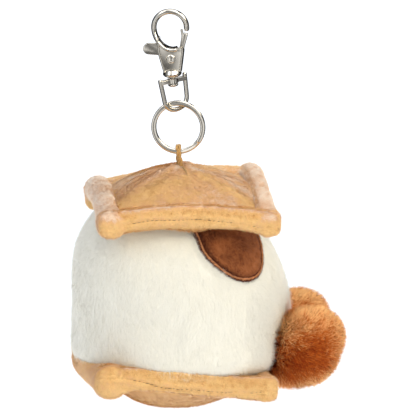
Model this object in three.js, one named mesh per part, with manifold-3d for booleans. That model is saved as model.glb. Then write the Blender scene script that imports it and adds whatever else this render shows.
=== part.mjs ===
// A plush s'more on a key clip: a white marshmallow between two tan crackers with stuffed rims, a
// chocolate drip on each side, two furry feet, and a swivel snap hook on a split ring and cord loop.
//
// Millimetres. +Z is up, +X is the toy's front, where its feet point, and -Y is its right side.
// The origin is the centre of the small flat under the bottom cracker, on which the toy stands.

import * as THREE from 'three';
import { mergeVertices } from 'three/addons/utils/BufferGeometryUtils.js';
import Module from 'manifold-3d';

const wasm = await Module();
wasm.setup();

// ---------------------------------------------------------------- driving dimensions

const GAP = 0.3; // between pieces that touch

const MARSHMALLOW = {
  radius: 41.2,
  depthShare: 0.96, // its size along Y, as a share of its size along X
  waist: 39, // height of its widest level
  below: 24.5, // from the waist down to its underside
  above: 43.5, // from the waist up to its top
  sharpBelow: 7, // exponents of the rounding under and over the waist
  sharpAbove: 2.5,
  shift: 1.4, // its axis along X at the waist and below
  lean: -0.085, // how far the axis moves along X for each mm above the waist
};

const ROLL_RADIUS = 4.2; // at the middle of a cracker's rim roll

const TOP_CRACKER = {
  centre: 1.8, // along X
  turn: -3, // degrees, seen from above
  sideX: 68,
  sideY: 75,
  // Of each corner, the height and radius of the roll's end
  corner: { backRight: [76.6, 4.9], frontRight: [75.8, 4.9], frontLeft: [79, 4.9], backLeft: [74.6, 4.9] },
  arch: 2.7, // how far a roll's middle stands above the line of its ends
  bow: 0, // how far the back roll's middle stands out
  drop: { right: 0, left: 2 }, // how much lower the side rolls lie than the corners
};

const BOTTOM_CRACKER = {
  centre: -1,
  turn: 0,
  sideX: 69,
  sideY: 77,
  corner: { backRight: [16.2, 6.8], frontRight: [12.2, 4.9], frontLeft: [12, 4.9], backLeft: [11.4, 5.2] },
  arch: 0.4,
  bow: 4,
  drop: { right: 0, left: 0 },
};

const PEAK = { x: 1.2, y: 0, height: 91.3, tent: 0.32 }; // where the cord pulls the top cracker up
const FLAT_SHARE = 0.45; // of the bottom cracker's half side, the flat that it stands on
const BULGE = { depth: 13.5, power: 2.4 }; // of the bottom cracker's underside

const CHOCOLATE = {
  heading: -62, // degrees from the front, of its middle
  thickness: 1.3,
  reach: 60, // long enough to pass right through the marshmallow's wall
  // The drip's outline as it faces outwards: across, height
  outline: [
    [-12.2, 86], [-12.4, 70], [-12.2, 65.5], [-9.8, 61.2], [-4.8, 56.4], [1.4, 53.6],
    [8, 53.4], [12.8, 56.2], [15.6, 62], [16.8, 68], [17.2, 86],
  ],
};

const FOOT = {
  half: { x: 13.2, y: 11, z: 15.6 },
  height: 23.3,
  tilt: 20, // degrees that its top leans forwards
  splay: 8, // degrees that it turns outwards
  right: { x: 46, y: -20 },
  left: { x: 47, y: 18.5 },
};

const CORD = { wide: 2.3, thick: 1.1 };

const RING = {
  centre: new THREE.Vector3(0.65, 0, 105.6),
  turn: -14, // degrees, seen from above
  outer: 10.2,
  band: 1.9, // radial width of its wire
  coil: 0.85, // axial thickness of one of its two turns
  crossing: 25, // half the angle over which it steps from one turn to the next, degrees
  crossingAt: -68, // where that is, degrees from the front
};

// The clip is modelled upright in its own group, whose origin is low in the shackle.
const CLIP = { at: new THREE.Vector3(-0.4, 0, 112.1), lean: -4.9, turn: -14 };

const SHACKLE = {
  turn: 40, // degrees from the hook, seen from above
  lean: -4.5,
  half: { top: 5.6, bottom: 5.1 }, // from the axis to the middle of a leg
  wire: 0.86,
  bend: 2.3, // exponent of its curved lower end
  bottom: 0.3,
  top: 13.2,
  bar: { height: 11.5, thick: 1.9, deep: 3.4, boss: 2.1, hole: 1.15 },
};

const SWIVEL = { post: 0.82, head: 2, headHeight: 1.05, top: 16.6 };

const HOOK = {
  wire: 1.05,
  spread: 2.2, // how many times deeper than wide its wire becomes at the eye's lower end
  eye: { x: 0.75, z: 31.9, across: 5.1, up: 5, down: 7.5 }, // the opening's centre and half sizes
  tip: -12, // angle on the eye's curve where the hook ends, degrees from +X
  end: 284, // and where it has run round the eye into the body
  bodyHalf: 2, // half the body's thickness
  slotHalf: 1.2,
  collar: { radius: 3.6, bottom: 13, top: 15.7 },
};

const GATE = {
  pivot: new THREE.Vector2(0.15, 20.1),
  plate: 0.7, // half thickness of the plate in the slot
  bar: 0.9, // half thickness of the bar that closes the eye
  hub: 2,
  hole: 1.1,
};

const RIVET = { shank: 0.95, head: 1.75, headHeight: 0.45 };

// ---------------------------------------------------------------- colours

const finish = (color, roughness, metalness = 0) =>
  new THREE.MeshStandardMaterial({ color, roughness, metalness });

const WHITE_PLUSH = finish(0xf3eedd, 0.95);
const TAN_PLUSH = finish(0xe2ae6c, 0.9);
const CHOCOLATE_PLUSH = finish(0x7c4526, 0.9);
const ORANGE_FUR = finish(0xb9702f, 0.95);
const CORD_YARN = finish(0xbf8434, 0.8);
const NICKEL = finish(0xc9c6bf, 0.2, 1);

// ---------------------------------------------------------------- solids

const radians = THREE.MathUtils.degToRad;
const { clamp, lerp } = THREE.MathUtils;

/** A closed three.js geometry as a manifold-3d solid. */
function toSolid(geometry) {
  const bare = geometry.clone();
  bare.deleteAttribute('normal');
  bare.deleteAttribute('uv');
  const merged = mergeVertices(bare, 1e-4);
  return new wasm.Manifold(new wasm.Mesh({
    numProp: 3,
    vertProperties: new Float32Array(merged.attributes.position.array),
    triVerts: new Uint32Array(merged.index.array),
  }));
}

/** The largest body of a manifold-3d solid, as a three.js geometry. */
function toGeometry(solid) {
  const largest = solid.decompose().reduce((a, b) => (b.volume() > a.volume() ? b : a));
  const mesh = largest.getMesh();
  const geometry = new THREE.BufferGeometry();
  geometry.setAttribute('position', new THREE.BufferAttribute(mesh.vertProperties, 3));
  geometry.setIndex(new THREE.BufferAttribute(mesh.triVerts, 1));
  geometry.computeVertexNormals();
  return geometry;
}

const joined = (solids) => solids.reduce((a, b) => a.add(b));
const without = (solid, cutters) => cutters.reduce((a, b) => a.subtract(b), solid);

/** Moves each vertex of a geometry to where place(point) puts it. */
function shaped(geometry, place) {
  const position = geometry.attributes.position;
  const point = new THREE.Vector3();
  for (let i = 0; i < position.count; i += 1) {
    point.fromBufferAttribute(position, i);
    place(point);
    position.setXYZ(i, point.x, point.y, point.z);
  }
  return geometry;
}

/** A profile of [radius, height] pairs turned about +Z. */
function turned(profile, segments) {
  const points = profile.map(([radius, height]) => new THREE.Vector2(radius, height));
  return new THREE.LatheGeometry(points, segments).rotateX(Math.PI / 2);
}

/** A round wire along a three.js curve, with closed ends. */
function wire(curve, radius, steps, sides = 8) {
  const section = new THREE.Shape();
  for (let i = 0; i < sides; i += 1) {
    const angle = ((i + 0.5) / sides) * 2 * Math.PI;
    section[i ? 'lineTo' : 'moveTo'](radius * Math.cos(angle), radius * Math.sin(angle));
  }
  return new THREE.ExtrudeGeometry(section, { steps, extrudePath: curve });
}

/** A flat outline in X and Z, made into a plate of the given half thickness along Y. */
function plate(shape, half, bevel = 0) {
  const geometry = new THREE.ExtrudeGeometry(shape, {
    depth: 2 * (half - bevel),
    bevelEnabled: bevel > 0,
    bevelThickness: bevel,
    bevelSize: bevel,
    bevelOffset: -bevel,
    bevelSegments: 2,
    curveSegments: 10,
  });
  return geometry.translate(0, 0, bevel - half).rotateX(Math.PI / 2);
}

// ---------------------------------------------------------------- the marshmallow

/** How wide the marshmallow is at a height, as a share of its radius. */
function roundness(height) {
  const { waist, below, above, sharpBelow, sharpAbove } = MARSHMALLOW;
  const over = height > waist;
  const share = Math.min(Math.abs(height - waist) / (over ? above : below), 1);
  const power = over ? sharpAbove : sharpBelow;
  return (1 - share ** power) ** (1 / power);
}

/** The marshmallow, or with grow a larger one that leaves that much room around it. */
function marshmallow(grow = 0) {
  const { radius, depthShare, waist, below, above, shift, lean } = MARSHMALLOW;
  const rings = 20;
  const profile = [];
  for (let i = 0; i <= rings; i += 1) {
    const angle = (i / rings - 0.5) * Math.PI;
    const height = waist + Math.sin(angle) * (angle > 0 ? above : below);
    const wide = i % rings ? roundness(height) * radius + grow : 0;
    profile.push([wide, height + grow * Math.sin(angle)]);
  }
  return toSolid(shaped(turned(profile, 36), (p) => {
    p.y *= depthShare;
    p.x += shift + lean * Math.max(0, p.z - waist);
  }));
}

// ---------------------------------------------------------------- the crackers

/** A stuffed roll between two ends, bent by its middle's rise and by how far that stands out. */
function roll(from, to, rise, out, grow = 0) {
  const direction = to.point.clone().sub(from.point).normalize();
  const side = direction.clone().cross(new THREE.Vector3(0, 0, 1)).normalize();
  const up = side.clone().cross(direction);
  const capsule = new THREE.CapsuleGeometry(1, 2, 3, 12, 9);
  return toSolid(shaped(capsule, (p) => {
    const along = clamp(p.y, -1, 1);
    const end = along < 0 ? from.radius : to.radius;
    const radius = lerp(ROLL_RADIUS, end, along ** 4) + grow;
    const cap = (p.y - along) * radius;
    const across = p.x * radius + out * (1 - along ** 2);
    const above = p.z * radius + rise * (1 - along ** 2);
    p.lerpVectors(from.point, to.point, (along + 1) / 2);
    p.addScaledVector(direction, cap).addScaledVector(side, across).addScaledVector(up, above);
  }));
}

/** The centre and radius of a cracker's four corner lumps, before the cracker is turned. */
function cornersOf({ centre, sideX, sideY, corner }) {
  const at = (x, y, [height, radius]) => ({
    point: new THREE.Vector3(centre + x * (sideX / 2 - radius), y * (sideY / 2 - radius), height),
    radius,
  });
  return {
    backRight: at(-1, -1, corner.backRight),
    frontRight: at(1, -1, corner.frontRight),
    frontLeft: at(1, 1, corner.frontLeft),
    backLeft: at(-1, 1, corner.backLeft),
  };
}

/** A cracker's rim: the front and back rolls run past the corners, the side rolls between them. */
function rimOf(cracker, grow = 0) {
  const { arch, bow, drop, turn } = cracker;
  const c = cornersOf(cracker);
  const made = {
    back: roll(c.backRight, c.backLeft, arch, -bow, grow),
    front: roll(c.frontRight, c.frontLeft, arch, 0, grow),
    right: roll(c.backRight, c.frontRight, arch, 0, grow).translate([0, 0, -drop.right]),
    left: roll(c.backLeft, c.frontLeft, arch, 0, grow).translate([0, 0, -drop.left]),
  };
  return Object.fromEntries(Object.entries(made).map(([name, solid]) => [name, solid.rotate([0, 0, turn])]));
}

/** The rim's height at a place on the cracker, with u and v from -1 to 1 across it. */
function rimHeight({ corner, arch, drop }, u, v) {
  const right = lerp(corner.backRight[0], corner.frontRight[0], (u + 1) / 2) - drop.right;
  const left = lerp(corner.backLeft[0], corner.frontLeft[0], (u + 1) / 2) - drop.left;
  return lerp(right, left, (v + 1) / 2) + arch * (1 - u ** 2 * v ** 2);
}

/** A cracker's middle, out to the rolls' centrelines, between two surfaces given by u and v. */
function pad(cracker, over, under, cells = 14) {
  const { backLeft, frontRight } = cornersOf(cracker);
  const box = new THREE.BoxGeometry(2, 2, 2, cells, cells, 1);
  return toSolid(shaped(box, (p) => {
    const [u, v] = [p.x, p.y];
    p.set(
      lerp(backLeft.point.x, frontRight.point.x, (u + 1) / 2),
      lerp(frontRight.point.y, backLeft.point.y, (v + 1) / 2),
      p.z > 0 ? over(u, v) : under(u, v),
    );
  })).rotate([0, 0, cracker.turn]);
}

/** The top cracker's middle: a puffed sheet drawn up to a peak where the cord leaves it. */
function topPad() {
  const { centre, sideX, sideY } = TOP_CRACKER;
  const peak = { u: (PEAK.x - centre) / (sideX / 2), v: PEAK.y / (sideY / 2) };
  const rise = PEAK.height - rimHeight(TOP_CRACKER, peak.u, peak.v) - 1;
  const over = (u, v) => {
    const tent = Math.max(0, 1 - Math.hypot(u - peak.u, v - peak.v));
    const pillow = ((1 - Math.abs(u) ** 3) * (1 - Math.abs(v) ** 3)) ** 0.65;
    return rimHeight(TOP_CRACKER, u, v) + 1 + rise * lerp(pillow, tent, PEAK.tent);
  };
  const under = (u, v) => rimHeight(TOP_CRACKER, u, v) - 2.4;
  return pad(TOP_CRACKER, over, under);
}

/** The bottom cracker's middle: it bulges down to the flat that the toy stands on. */
function bottomPad() {
  const rest = BULGE.depth * FLAT_SHARE ** BULGE.power;
  const under = (u, v) => {
    const away = Math.min(1, (Math.abs(u) ** 2.5 + Math.abs(v) ** 2.5) ** 0.4);
    const edge = rimHeight(BOTTOM_CRACKER, u, v) / BULGE.depth;
    return Math.max(0, BULGE.depth * away ** BULGE.power - rest) * edge;
  };
  const over = (u, v) => rimHeight(BOTTOM_CRACKER, u, v) + 1.2;
  return pad(BOTTOM_CRACKER, over, under);
}

// ---------------------------------------------------------------- chocolate and feet

/** A chocolate drip: the part of a shell round the marshmallow that lies behind its outline. */
function chocolate(side) {
  const curve = new THREE.SplineCurve(CHOCOLATE.outline.map(([x, y]) => new THREE.Vector2(x, y)));
  const shape = new THREE.Shape(curve.getPoints(30));
  const cutter = new THREE.ExtrudeGeometry(shape, { depth: CHOCOLATE.reach, bevelEnabled: false })
    .rotateX(Math.PI / 2) // the outline stands upright and the cutter runs along -Y
    .rotateZ(radians(90 + CHOCOLATE.heading));
  const shell = marshmallow(GAP + CHOCOLATE.thickness).subtract(marshmallow(GAP));
  const drip = shell.intersect(toSolid(cutter));
  return side === 'right' ? drip : drip.mirror([0, 1, 0]);
}

/** A foot, out to the middle of its fur. */
function foot(side) {
  const { half, height, splay, tilt } = FOOT;
  const { x, y } = FOOT[side];
  const ball = new THREE.SphereGeometry(1, 20, 12).rotateX(Math.PI / 2);
  return toSolid(shaped(ball, (p) => {
    p.set(p.x * half.x, p.y * half.y, p.z * half.z);
  }).rotateY(radians(tilt)).rotateZ(Math.sign(y) * radians(splay)).translate(x, y, height));
}

// ---------------------------------------------------------------- cord and ring

/** The cord that comes out of the top cracker, passes over the ring's lower edge and goes back. */
function hangingLoop(grow = 0) {
  const aside = RING.coil + GAP + CORD.thick / 2 + 0.12;
  const over = RING.centre.z - RING.outer + RING.band + GAP + CORD.thick / 2;
  const into = PEAK.height - 3.4 - grow;
  const curve = new THREE.CatmullRomCurve3([
    [1.2, -0.8, into],
    [1.1, -1.3, PEAK.height + 0.4],
    [0.4, -aside, over - 2.7],
    [0.2, -aside * 0.98, over - 1],
    [0.1, -aside * 0.66, over + 0.05],
    [0, 0, over + 0.24],
    [-0.1, aside * 0.66, over + 0.05],
    [-0.2, aside * 0.98, over - 1],
    [-0.3, aside, over - 2.7],
    [-0.3, 1.3, PEAK.height + 0.4],
    [-0.3, 0.8, into],
  ].map((p) => new THREE.Vector3(...p)));
  const [a, b] = [CORD.wide / 2 + grow, CORD.thick / 2 + grow];
  const section = new THREE.Shape(
    [...Array(10).keys()].map((i) => {
      const angle = (i / 10) * 2 * Math.PI;
      return new THREE.Vector2(a * Math.cos(angle), b * Math.sin(angle));
    }),
  );
  const cord = new THREE.ExtrudeGeometry(section, { steps: 36, extrudePath: curve });
  return toSolid(cord.rotateZ(radians(RING.turn)).translate(RING.centre.x, RING.centre.y, 0));
}

/** A flat wire wound twice, which steps from one turn to the next where both its ends stop short. */
class SplitRingCurve extends THREE.Curve {
  getPoint(t, target = new THREE.Vector3()) {
    const { outer, band, coil, crossing, crossingAt } = RING;
    const slack = crossing + 5;
    const degrees = lerp(slack, 720 - slack, t);
    const step = THREE.MathUtils.smoothstep(degrees, 360 - crossing, 360 + crossing);
    const angle = radians(degrees + crossingAt);
    const radius = outer - band / 2;
    return target.set(
      radius * Math.cos(angle),
      lerp(-0.5, 0.5, step) * (coil + 0.12),
      radius * Math.sin(angle),
    );
  }
}

function splitRing() {
  const { band, coil, centre, turn } = RING;
  const steps = 80;
  const curve = new SplitRingCurve();
  const corner = 0.22;
  const [a, b] = [band / 2, coil / 2];
  const section = new THREE.Shape([
    [a - corner, -b], [a, corner - b], [a, b - corner], [a - corner, b],
    [corner - a, b], [-a, b - corner], [-a, corner - b], [corner - a, -b],
  ].map(([x, y]) => new THREE.Vector2(x, y)));
  const ring = new THREE.ExtrudeGeometry(section, { depth: 1, steps, bevelEnabled: false });
  const tangent = new THREE.Vector3();
  const middle = new THREE.Vector3();
  const out = new THREE.Vector3();
  shaped(ring, (p) => {
    const [radial, axial, along] = [p.x, p.y, clamp(p.z, 0, 1)];
    curve.getPoint(along, middle);
    curve.getTangent(along, tangent);
    out.set(middle.x, 0, middle.z).normalize();
    const across = tangent.clone().cross(out).normalize();
    p.copy(middle).addScaledVector(out, radial).addScaledVector(across, axial);
  });
  return toSolid(ring.rotateZ(radians(turn)).translate(centre.x, centre.y, centre.z));
}

// ---------------------------------------------------------------- the clip

/** The shackle: a wire bent to a U, with a flat bar across its top that the hook turns in. */
function shackle() {
  const { half, wire: radius, bend, bottom, top, bar, lean, turn } = SHACKLE;
  const points = [new THREE.Vector3(-half.top, 0, top)];
  const steps = 14;
  for (let i = 0; i <= steps; i += 1) {
    const angle = Math.PI * (1 - i / steps);
    const c = Math.cos(angle);
    const s = Math.sin(angle);
    const across = half.bottom * Math.sign(c) * Math.abs(c) ** (2 / bend);
    points.push(new THREE.Vector3(across, 0, bottom + half.bottom * (1 - s ** (2 / bend))));
  }
  points.push(new THREE.Vector3(half.top, 0, top));
  const bow = wire(new THREE.CatmullRomCurve3(points, false, 'centripetal'), radius, 34)
    .translate(0, 0, -bar.height)
    .rotateY(radians(lean))
    .translate(0, 0, bar.height);
  const strip = new THREE.BoxGeometry(2 * half.top, bar.deep * 0.6, bar.thick * 0.8)
    .translate(0, 0, bar.height);
  const boss = turned([
    [0, bar.height - bar.thick / 2], [bar.boss, bar.height - bar.thick / 2],
    [bar.boss, bar.height + bar.thick / 2], [0, bar.height + bar.thick / 2],
  ], 16);
  const hole = turned([
    [0, bar.height - bar.thick], [bar.hole, bar.height - bar.thick],
    [bar.hole, bar.height + bar.thick], [0, bar.height + bar.thick],
  ], 16);
  return joined([bow, strip, boss].map(toSolid)).subtract(toSolid(hole)).rotate([0, 0, turn]);
}

/** The pin that the hook turns on: a post in the collar, and a head under the shackle's bar. */
function swivelRivet(grow = 0) {
  const { post, head, headHeight, top } = SWIVEL;
  const seat = SHACKLE.bar.height - SHACKLE.bar.thick / 2 - GAP;
  return toSolid(turned([
    [0, seat - headHeight - grow], [head * 0.55, seat - headHeight - grow],
    [head + grow, seat - headHeight * 0.45], [head + grow, seat], [post + grow, seat],
    [post + grow, top + grow], [0, top + grow],
  ], 16));
}

/** A point on the outline of the eye's opening, or offset from it, at an angle from +X. */
function eyePoint(degrees, offset = 0) {
  const { x, z, across, up, down } = HOOK.eye;
  const c = Math.cos(radians(degrees));
  const s = Math.sin(radians(degrees));
  const drift = s < 0 ? 0.5 * s ** 2 : 0; // the opening's lower end lies a little to the right
  return [x + drift + (across + offset) * c, z + ((s > 0 ? up : down) + offset) * s];
}

/** The hook's bent wire, from its tip over the top and round the eye, deeper lower down. */
function hookWire() {
  const { tip, end, wire: radius, spread, eye } = HOOK;
  const count = 26;
  const points = [...Array(count + 1).keys()].map((i) => {
    const [x, z] = eyePoint(lerp(tip, end, i / count), radius);
    return new THREE.Vector3(x, 0, z);
  });
  const bent = wire(new THREE.CatmullRomCurve3(points), radius, 48);
  return toSolid(shaped(bent, (p) => {
    p.y *= lerp(1, spread, THREE.MathUtils.smoothstep(eye.z + 1 - p.z, 0, eye.down));
  }));
}

const outline = (pairs) => new THREE.Shape(pairs.map(([x, z]) => new THREE.Vector2(x, z)));

/** The hook's flat body below the eye, which carries the gate's rivet. */
function hookBody() {
  const rim = [...Array(9).keys()].map((i) => eyePoint(lerp(-72, -150, i / 8), HOOK.wire));
  const shape = outline([[-2.9, 15.2], [3.6, 15.2], [5, 21.9], [5.2, 23.4], ...rim, [-4.35, 21.9]]);
  return toSolid(plate(shape, HOOK.bodyHalf, 0.45));
}

/** The slot in the body, open to both sides, in which the gate swings. */
function gateSlot() {
  const shape = outline([
    [-9, 17.5], [9, 17.5], [9, 27.5], [-1.9, 27.5], [-1.9, 23.6], [-4.4, 26.9], [-9, 26.9],
  ]);
  return toSolid(plate(shape, HOOK.slotHalf));
}

function hookFrame() {
  const { radius, bottom, top } = HOOK.collar;
  const collar = toSolid(turned([
    [0, bottom], [radius * 0.7, bottom], [radius, bottom + 1], [radius, bottom + 1.6],
    [radius * 0.8, top], [0, top],
  ], 20));
  const bore = RIVET.shank + 0.15;
  const rivetHole = toSolid(new THREE.CylinderGeometry(bore, bore, 9, 16)
    .translate(GATE.pivot.x, 0, GATE.pivot.y));
  return without(joined([hookWire(), hookBody(), collar]), [gateSlot(), rivetHole, swivelRivet(0.2)]);
}

/** The rivet that the gate turns on, with a hollow head on each cheek. */
function gateRivet() {
  const { shank, head, headHeight } = RIVET;
  const inside = HOOK.bodyHalf + 0.12;
  const outside = inside + headHeight;
  const half = [[0, outside - 0.3], [head * 0.45, outside], [head * 0.8, outside], [head, inside], [shank, inside]];
  const profile = [...half.map(([r, z]) => [r, -z]), ...half.reverse()];
  return toSolid(turned(profile, 16).rotateX(Math.PI / 2).translate(GATE.pivot.x, 0, GATE.pivot.y));
}

/** The gate: a thumb tongue, a hub on the rivet, and the bar that closes the eye. */
function gateLever() {
  const { pivot, hub, hole, plate: half, bar } = GATE;
  const tongue = new THREE.Shape();
  tongue.moveTo(pivot.x - 0.3, pivot.y - 1.5);
  tongue.lineTo(-4.4, 21.6);
  tongue.lineTo(-8, 22.1);
  tongue.absarc(-8, 24.25, 2.15, -Math.PI / 2, -1.5 * Math.PI, true);
  tongue.lineTo(-5, 26.2);
  tongue.lineTo(-2.6, 22.9);
  tongue.lineTo(pivot.x, pivot.y + 1.9);
  const arm = outline([[1, 18.7], [3.4, 20], [5, 23.3], [3.4, 24.1], [0, 22]]);
  const closing = outline([
    [3.5, 23.6], [5.2, 23.2], [7.3, 29.1], [5.5, 29.4], [5.25, 31], [4.45, 30.8], [4.7, 28.3],
  ]);
  const disc = new THREE.CylinderGeometry(hub, hub, 2 * half, 20).translate(pivot.x, 0, pivot.y);
  const bore = new THREE.CylinderGeometry(hole + 0.15, hole + 0.15, 6, 16)
    .translate(pivot.x, 0, pivot.y);
  const pieces = [plate(tongue, half), plate(arm, half), disc, plate(closing, bar, 0.2)];
  return joined(pieces.map(toSolid)).subtract(toSolid(bore));
}

// ---------------------------------------------------------------- assembly

const toy = new THREE.Group();
const clip = new THREE.Group();
clip.position.copy(CLIP.at);
clip.rotation.set(0, radians(CLIP.lean), radians(CLIP.turn));
toy.add(clip);

function add(group, name, solid, material) {
  const mesh = new THREE.Mesh(toGeometry(solid), material);
  mesh.name = name;
  group.add(mesh);
}

const body = marshmallow();
const roomForBody = marshmallow(GAP);
const roomForLoop = hangingLoop(GAP + 0.02);
const topRoom = Object.values(rimOf(TOP_CRACKER, GAP));
const bottomRoom = Object.values(rimOf(BOTTOM_CRACKER, GAP));

add(toy, 'marshmallow', without(body, bottomRoom), WHITE_PLUSH);

for (const [name, cracker, middle] of [
  ['top_cracker', TOP_CRACKER, topPad()],
  ['bottom_cracker', BOTTOM_CRACKER, bottomPad()],
]) {
  const { back, front, right, left } = rimOf(cracker);
  const room = rimOf(cracker, GAP);
  const shoulders = cracker === TOP_CRACKER ? [roomForBody] : []; // only this rim yields to the body
  add(toy, `${name}_roll_back`, without(back, shoulders), TAN_PLUSH);
  add(toy, `${name}_roll_front`, without(front, shoulders), TAN_PLUSH);
  add(toy, `${name}_roll_right`, without(right, [room.back, room.front, ...shoulders]), TAN_PLUSH);
  add(toy, `${name}_roll_left`, without(left, [room.back, room.front, ...shoulders]), TAN_PLUSH);
  add(toy, `${name}_pad`, without(middle, [...Object.values(room), roomForBody, roomForLoop]), TAN_PLUSH);
}

const topPadRoom = topPad().translate([0, 0, -GAP]);
for (const side of ['right', 'left']) {
  const drip = without(chocolate(side), [...topRoom, topPadRoom]);
  add(toy, `chocolate_${side}`, drip, CHOCOLATE_PLUSH);
  add(toy, `foot_${side}`, without(foot(side), [roomForBody, ...bottomRoom]), ORANGE_FUR);
}

add(toy, 'hanging_loop', hangingLoop(), CORD_YARN);
add(toy, 'split_ring', splitRing(), NICKEL);
add(clip, 'swivel_shackle', shackle(), NICKEL);
add(clip, 'hook_frame', hookFrame(), NICKEL);
add(clip, 'swivel_rivet', swivelRivet(), NICKEL);
add(clip, 'gate_rivet', gateRivet(), NICKEL);
add(clip, 'gate_lever', gateLever(), NICKEL);

export default toy;
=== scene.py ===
"""A plush s'more on a key clip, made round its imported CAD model.

Each stuffed piece is shaped in code from a primitive and covered with pile, and the metal pieces
are modelled at full smoothness. Sizes below are in millimetres and angles in degrees, in the CAD
model's frame: +Z is up, +X is the toy's front and -Y its right side.
"""

import math

import bpy
import numpy as np
from bpy.props import FloatProperty, FloatVectorProperty, IntProperty, PointerProperty
from mathutils.kdtree import KDTree
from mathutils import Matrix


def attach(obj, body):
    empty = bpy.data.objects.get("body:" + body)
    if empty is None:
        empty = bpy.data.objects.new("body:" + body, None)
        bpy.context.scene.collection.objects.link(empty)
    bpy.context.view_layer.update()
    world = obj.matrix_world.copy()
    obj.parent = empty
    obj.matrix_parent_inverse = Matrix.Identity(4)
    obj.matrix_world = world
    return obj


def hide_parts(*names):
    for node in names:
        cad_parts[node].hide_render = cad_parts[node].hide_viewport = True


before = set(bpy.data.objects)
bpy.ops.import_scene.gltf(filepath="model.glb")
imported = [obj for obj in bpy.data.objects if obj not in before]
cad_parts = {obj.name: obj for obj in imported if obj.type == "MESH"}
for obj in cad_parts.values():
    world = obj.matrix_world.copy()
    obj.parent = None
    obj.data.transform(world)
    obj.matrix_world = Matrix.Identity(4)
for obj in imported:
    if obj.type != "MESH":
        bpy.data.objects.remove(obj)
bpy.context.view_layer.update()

bl_info = {
    "name": "Plush S'more Charm",
    "version": (1, 0, 0),
    "blender": (4, 5, 0),
    "location": "3D View > Sidebar > S'more",
    "description": "Makes a stuffed s'more charm, piece by piece, round its CAD model",
    "category": "Object",
}

MM = 0.001
PILE_MAP = "OFBake"  # the map of tone and height along a blade of pile
UP = np.array([0.0, 0.0, 1.0])

# ------------------------------------------------------------------ sizes, which follow the CAD model's

BODY = {
    "radius": 41.2, "depth_share": 0.96, "waist": 39, "below": 24.5, "above": 43.5,
    "sharp_below": 7, "sharp_above": 2.5, "shift": 1.4, "lean": -0.085,
}
ROLL_RADIUS = 4.2
# Each corner of a cracker has the height and the radius of its knob
TOP = {
    "centre": 1.8, "turn": -3, "side_x": 68, "side_y": 75, "arch": 2.7, "bow": 0, "lip": (0.3, 0.3, 0.3),
    "drop": {"right": 0, "left": 2},
    "back_right": (76.6, 4.9), "front_right": (75.8, 4.9),
    "front_left": (79, 4.9), "back_left": (74.6, 4.9),
}
BOTTOM = {
    "centre": -1, "turn": 0, "side_x": 69, "side_y": 77, "arch": 0.4, "bow": 4, "lip": (1.2, 2.4, -0.2),
    "drop": {"right": 0, "left": 0},
    "back_right": (16.8, 6.0), "front_right": (12.2, 4.9),
    "front_left": (12, 4.9), "back_left": (11.4, 5.2),
}
PEAK = {"x": 1.2, "y": 0, "height": 91.3, "tent": 0.32}
BULGE = {"depth": 13.5, "power": 2.4, "flat": 0.45}
DRIP = {
    "heading": -62,
    "outline": [
        (-12.25, 78.5), (-12.4, 70), (-12.2, 65.5), (-9.8, 61.2), (-4.8, 56.4), (1.4, 53.6),
        (8, 53.4), (12.8, 56.2), (15.6, 62), (16.8, 68), (17, 78.5),
    ],
    "middle": (2.5, 68), "groove": 1.9, "edge": 0.35, "threads": 96,
}
FOOT = {
    "half": (14.9, 11.3, 14.9), "square": 2.5, "lean": 0.28, "splay": 8, "parting": (-12, 0, -3),
    "right": (44.9, -20, 23.8), "left": (45.2, 18.5, 21.2),
}
RING = {
    "centre": (0.65, 0, 105.6), "turn": -14, "outer": 10.2, "band": 1.9, "coil": 0.85,
    "crossing": 25, "crossing_at": -68,
}
CLIP = {"at": (-0.4, 0, 112.1), "lean": -4.9, "turn": -14}
SHACKLE = {
    "turn": 40, "lean": -4.5, "top_half": 5.6, "bottom_half": 5.1, "wire": 0.86, "bend": 2.3,
    "bottom": 0.3, "top": 13.2, "bar": 11.5, "thick": 1.9, "deep": 3.4, "boss": 2.1, "hole": 1.15,
}
SWIVEL = {"post": 0.82, "head": 2, "head_height": 1.05, "top": 16.6}
HOOK = {
    "wire": 1.05, "spread": 2.2, "x": 0.75, "z": 31.9, "across": 5.1, "up": 5, "down": 7.5,
    "tip": -12, "end": 284, "half": 2, "slot": 1.2,
}
GATE = {
    "pivot": (0.15, 20.1), "plate": 0.7, "bar": 0.9, "hub": 2, "hole": 1.1,
    "thumb": (-8, 24.25), "thumb_radius": 2.15,
}
RIVET = {"shank": 0.95, "head": 1.75, "head_height": 0.45}

# Tones along the tan plush's ramp of colours. SEAM and DEEP also serve as painted shade in seams, slits and
# folds, and PALE as a painted highlight along piping and edges.
SEAM, DEEP, GOLD, TAN, PALE = 0.04, 0.25, 0.48, 0.74, 0.96
TONE_LIMITS = (0.02, 0.98)  # tones stay inside a ramp's ends

CORD_THICK = 1.1  # from its inner to its outer side, where it goes over the ring
CLEAR_OF_BODY = 0.35  # how far the rim rolls stay off the marshmallow
END_SHAPE = 0.58  # how full the round ends of the rim rolls are
CAP_SHARE = 0.1  # the share of a rim roll's length in each round end
PAD_SHARE = 0.97  # how far the crackers' middles reach towards the rolls' centrelines


# ------------------------------------------------------------------ shader maths

class Value:
    """A shader socket that takes part in sums."""

    def __init__(self, finish, socket):
        self.finish = finish
        self.socket = socket

    def sum(self, operation, *terms):
        return self.finish.node("ShaderNodeMath", {"operation": operation}, dict(enumerate(terms)))

    def __add__(self, other):
        return self.sum("ADD", self, other)

    def __sub__(self, other):
        return self.sum("SUBTRACT", self, other)

    def __rsub__(self, other):
        return self.sum("SUBTRACT", other, self)

    def __mul__(self, other):
        return self.sum("MULTIPLY", self, other)

    def __pow__(self, other):
        return self.sum("POWER", self, other)

    __radd__ = __add__
    __rmul__ = __mul__


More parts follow.
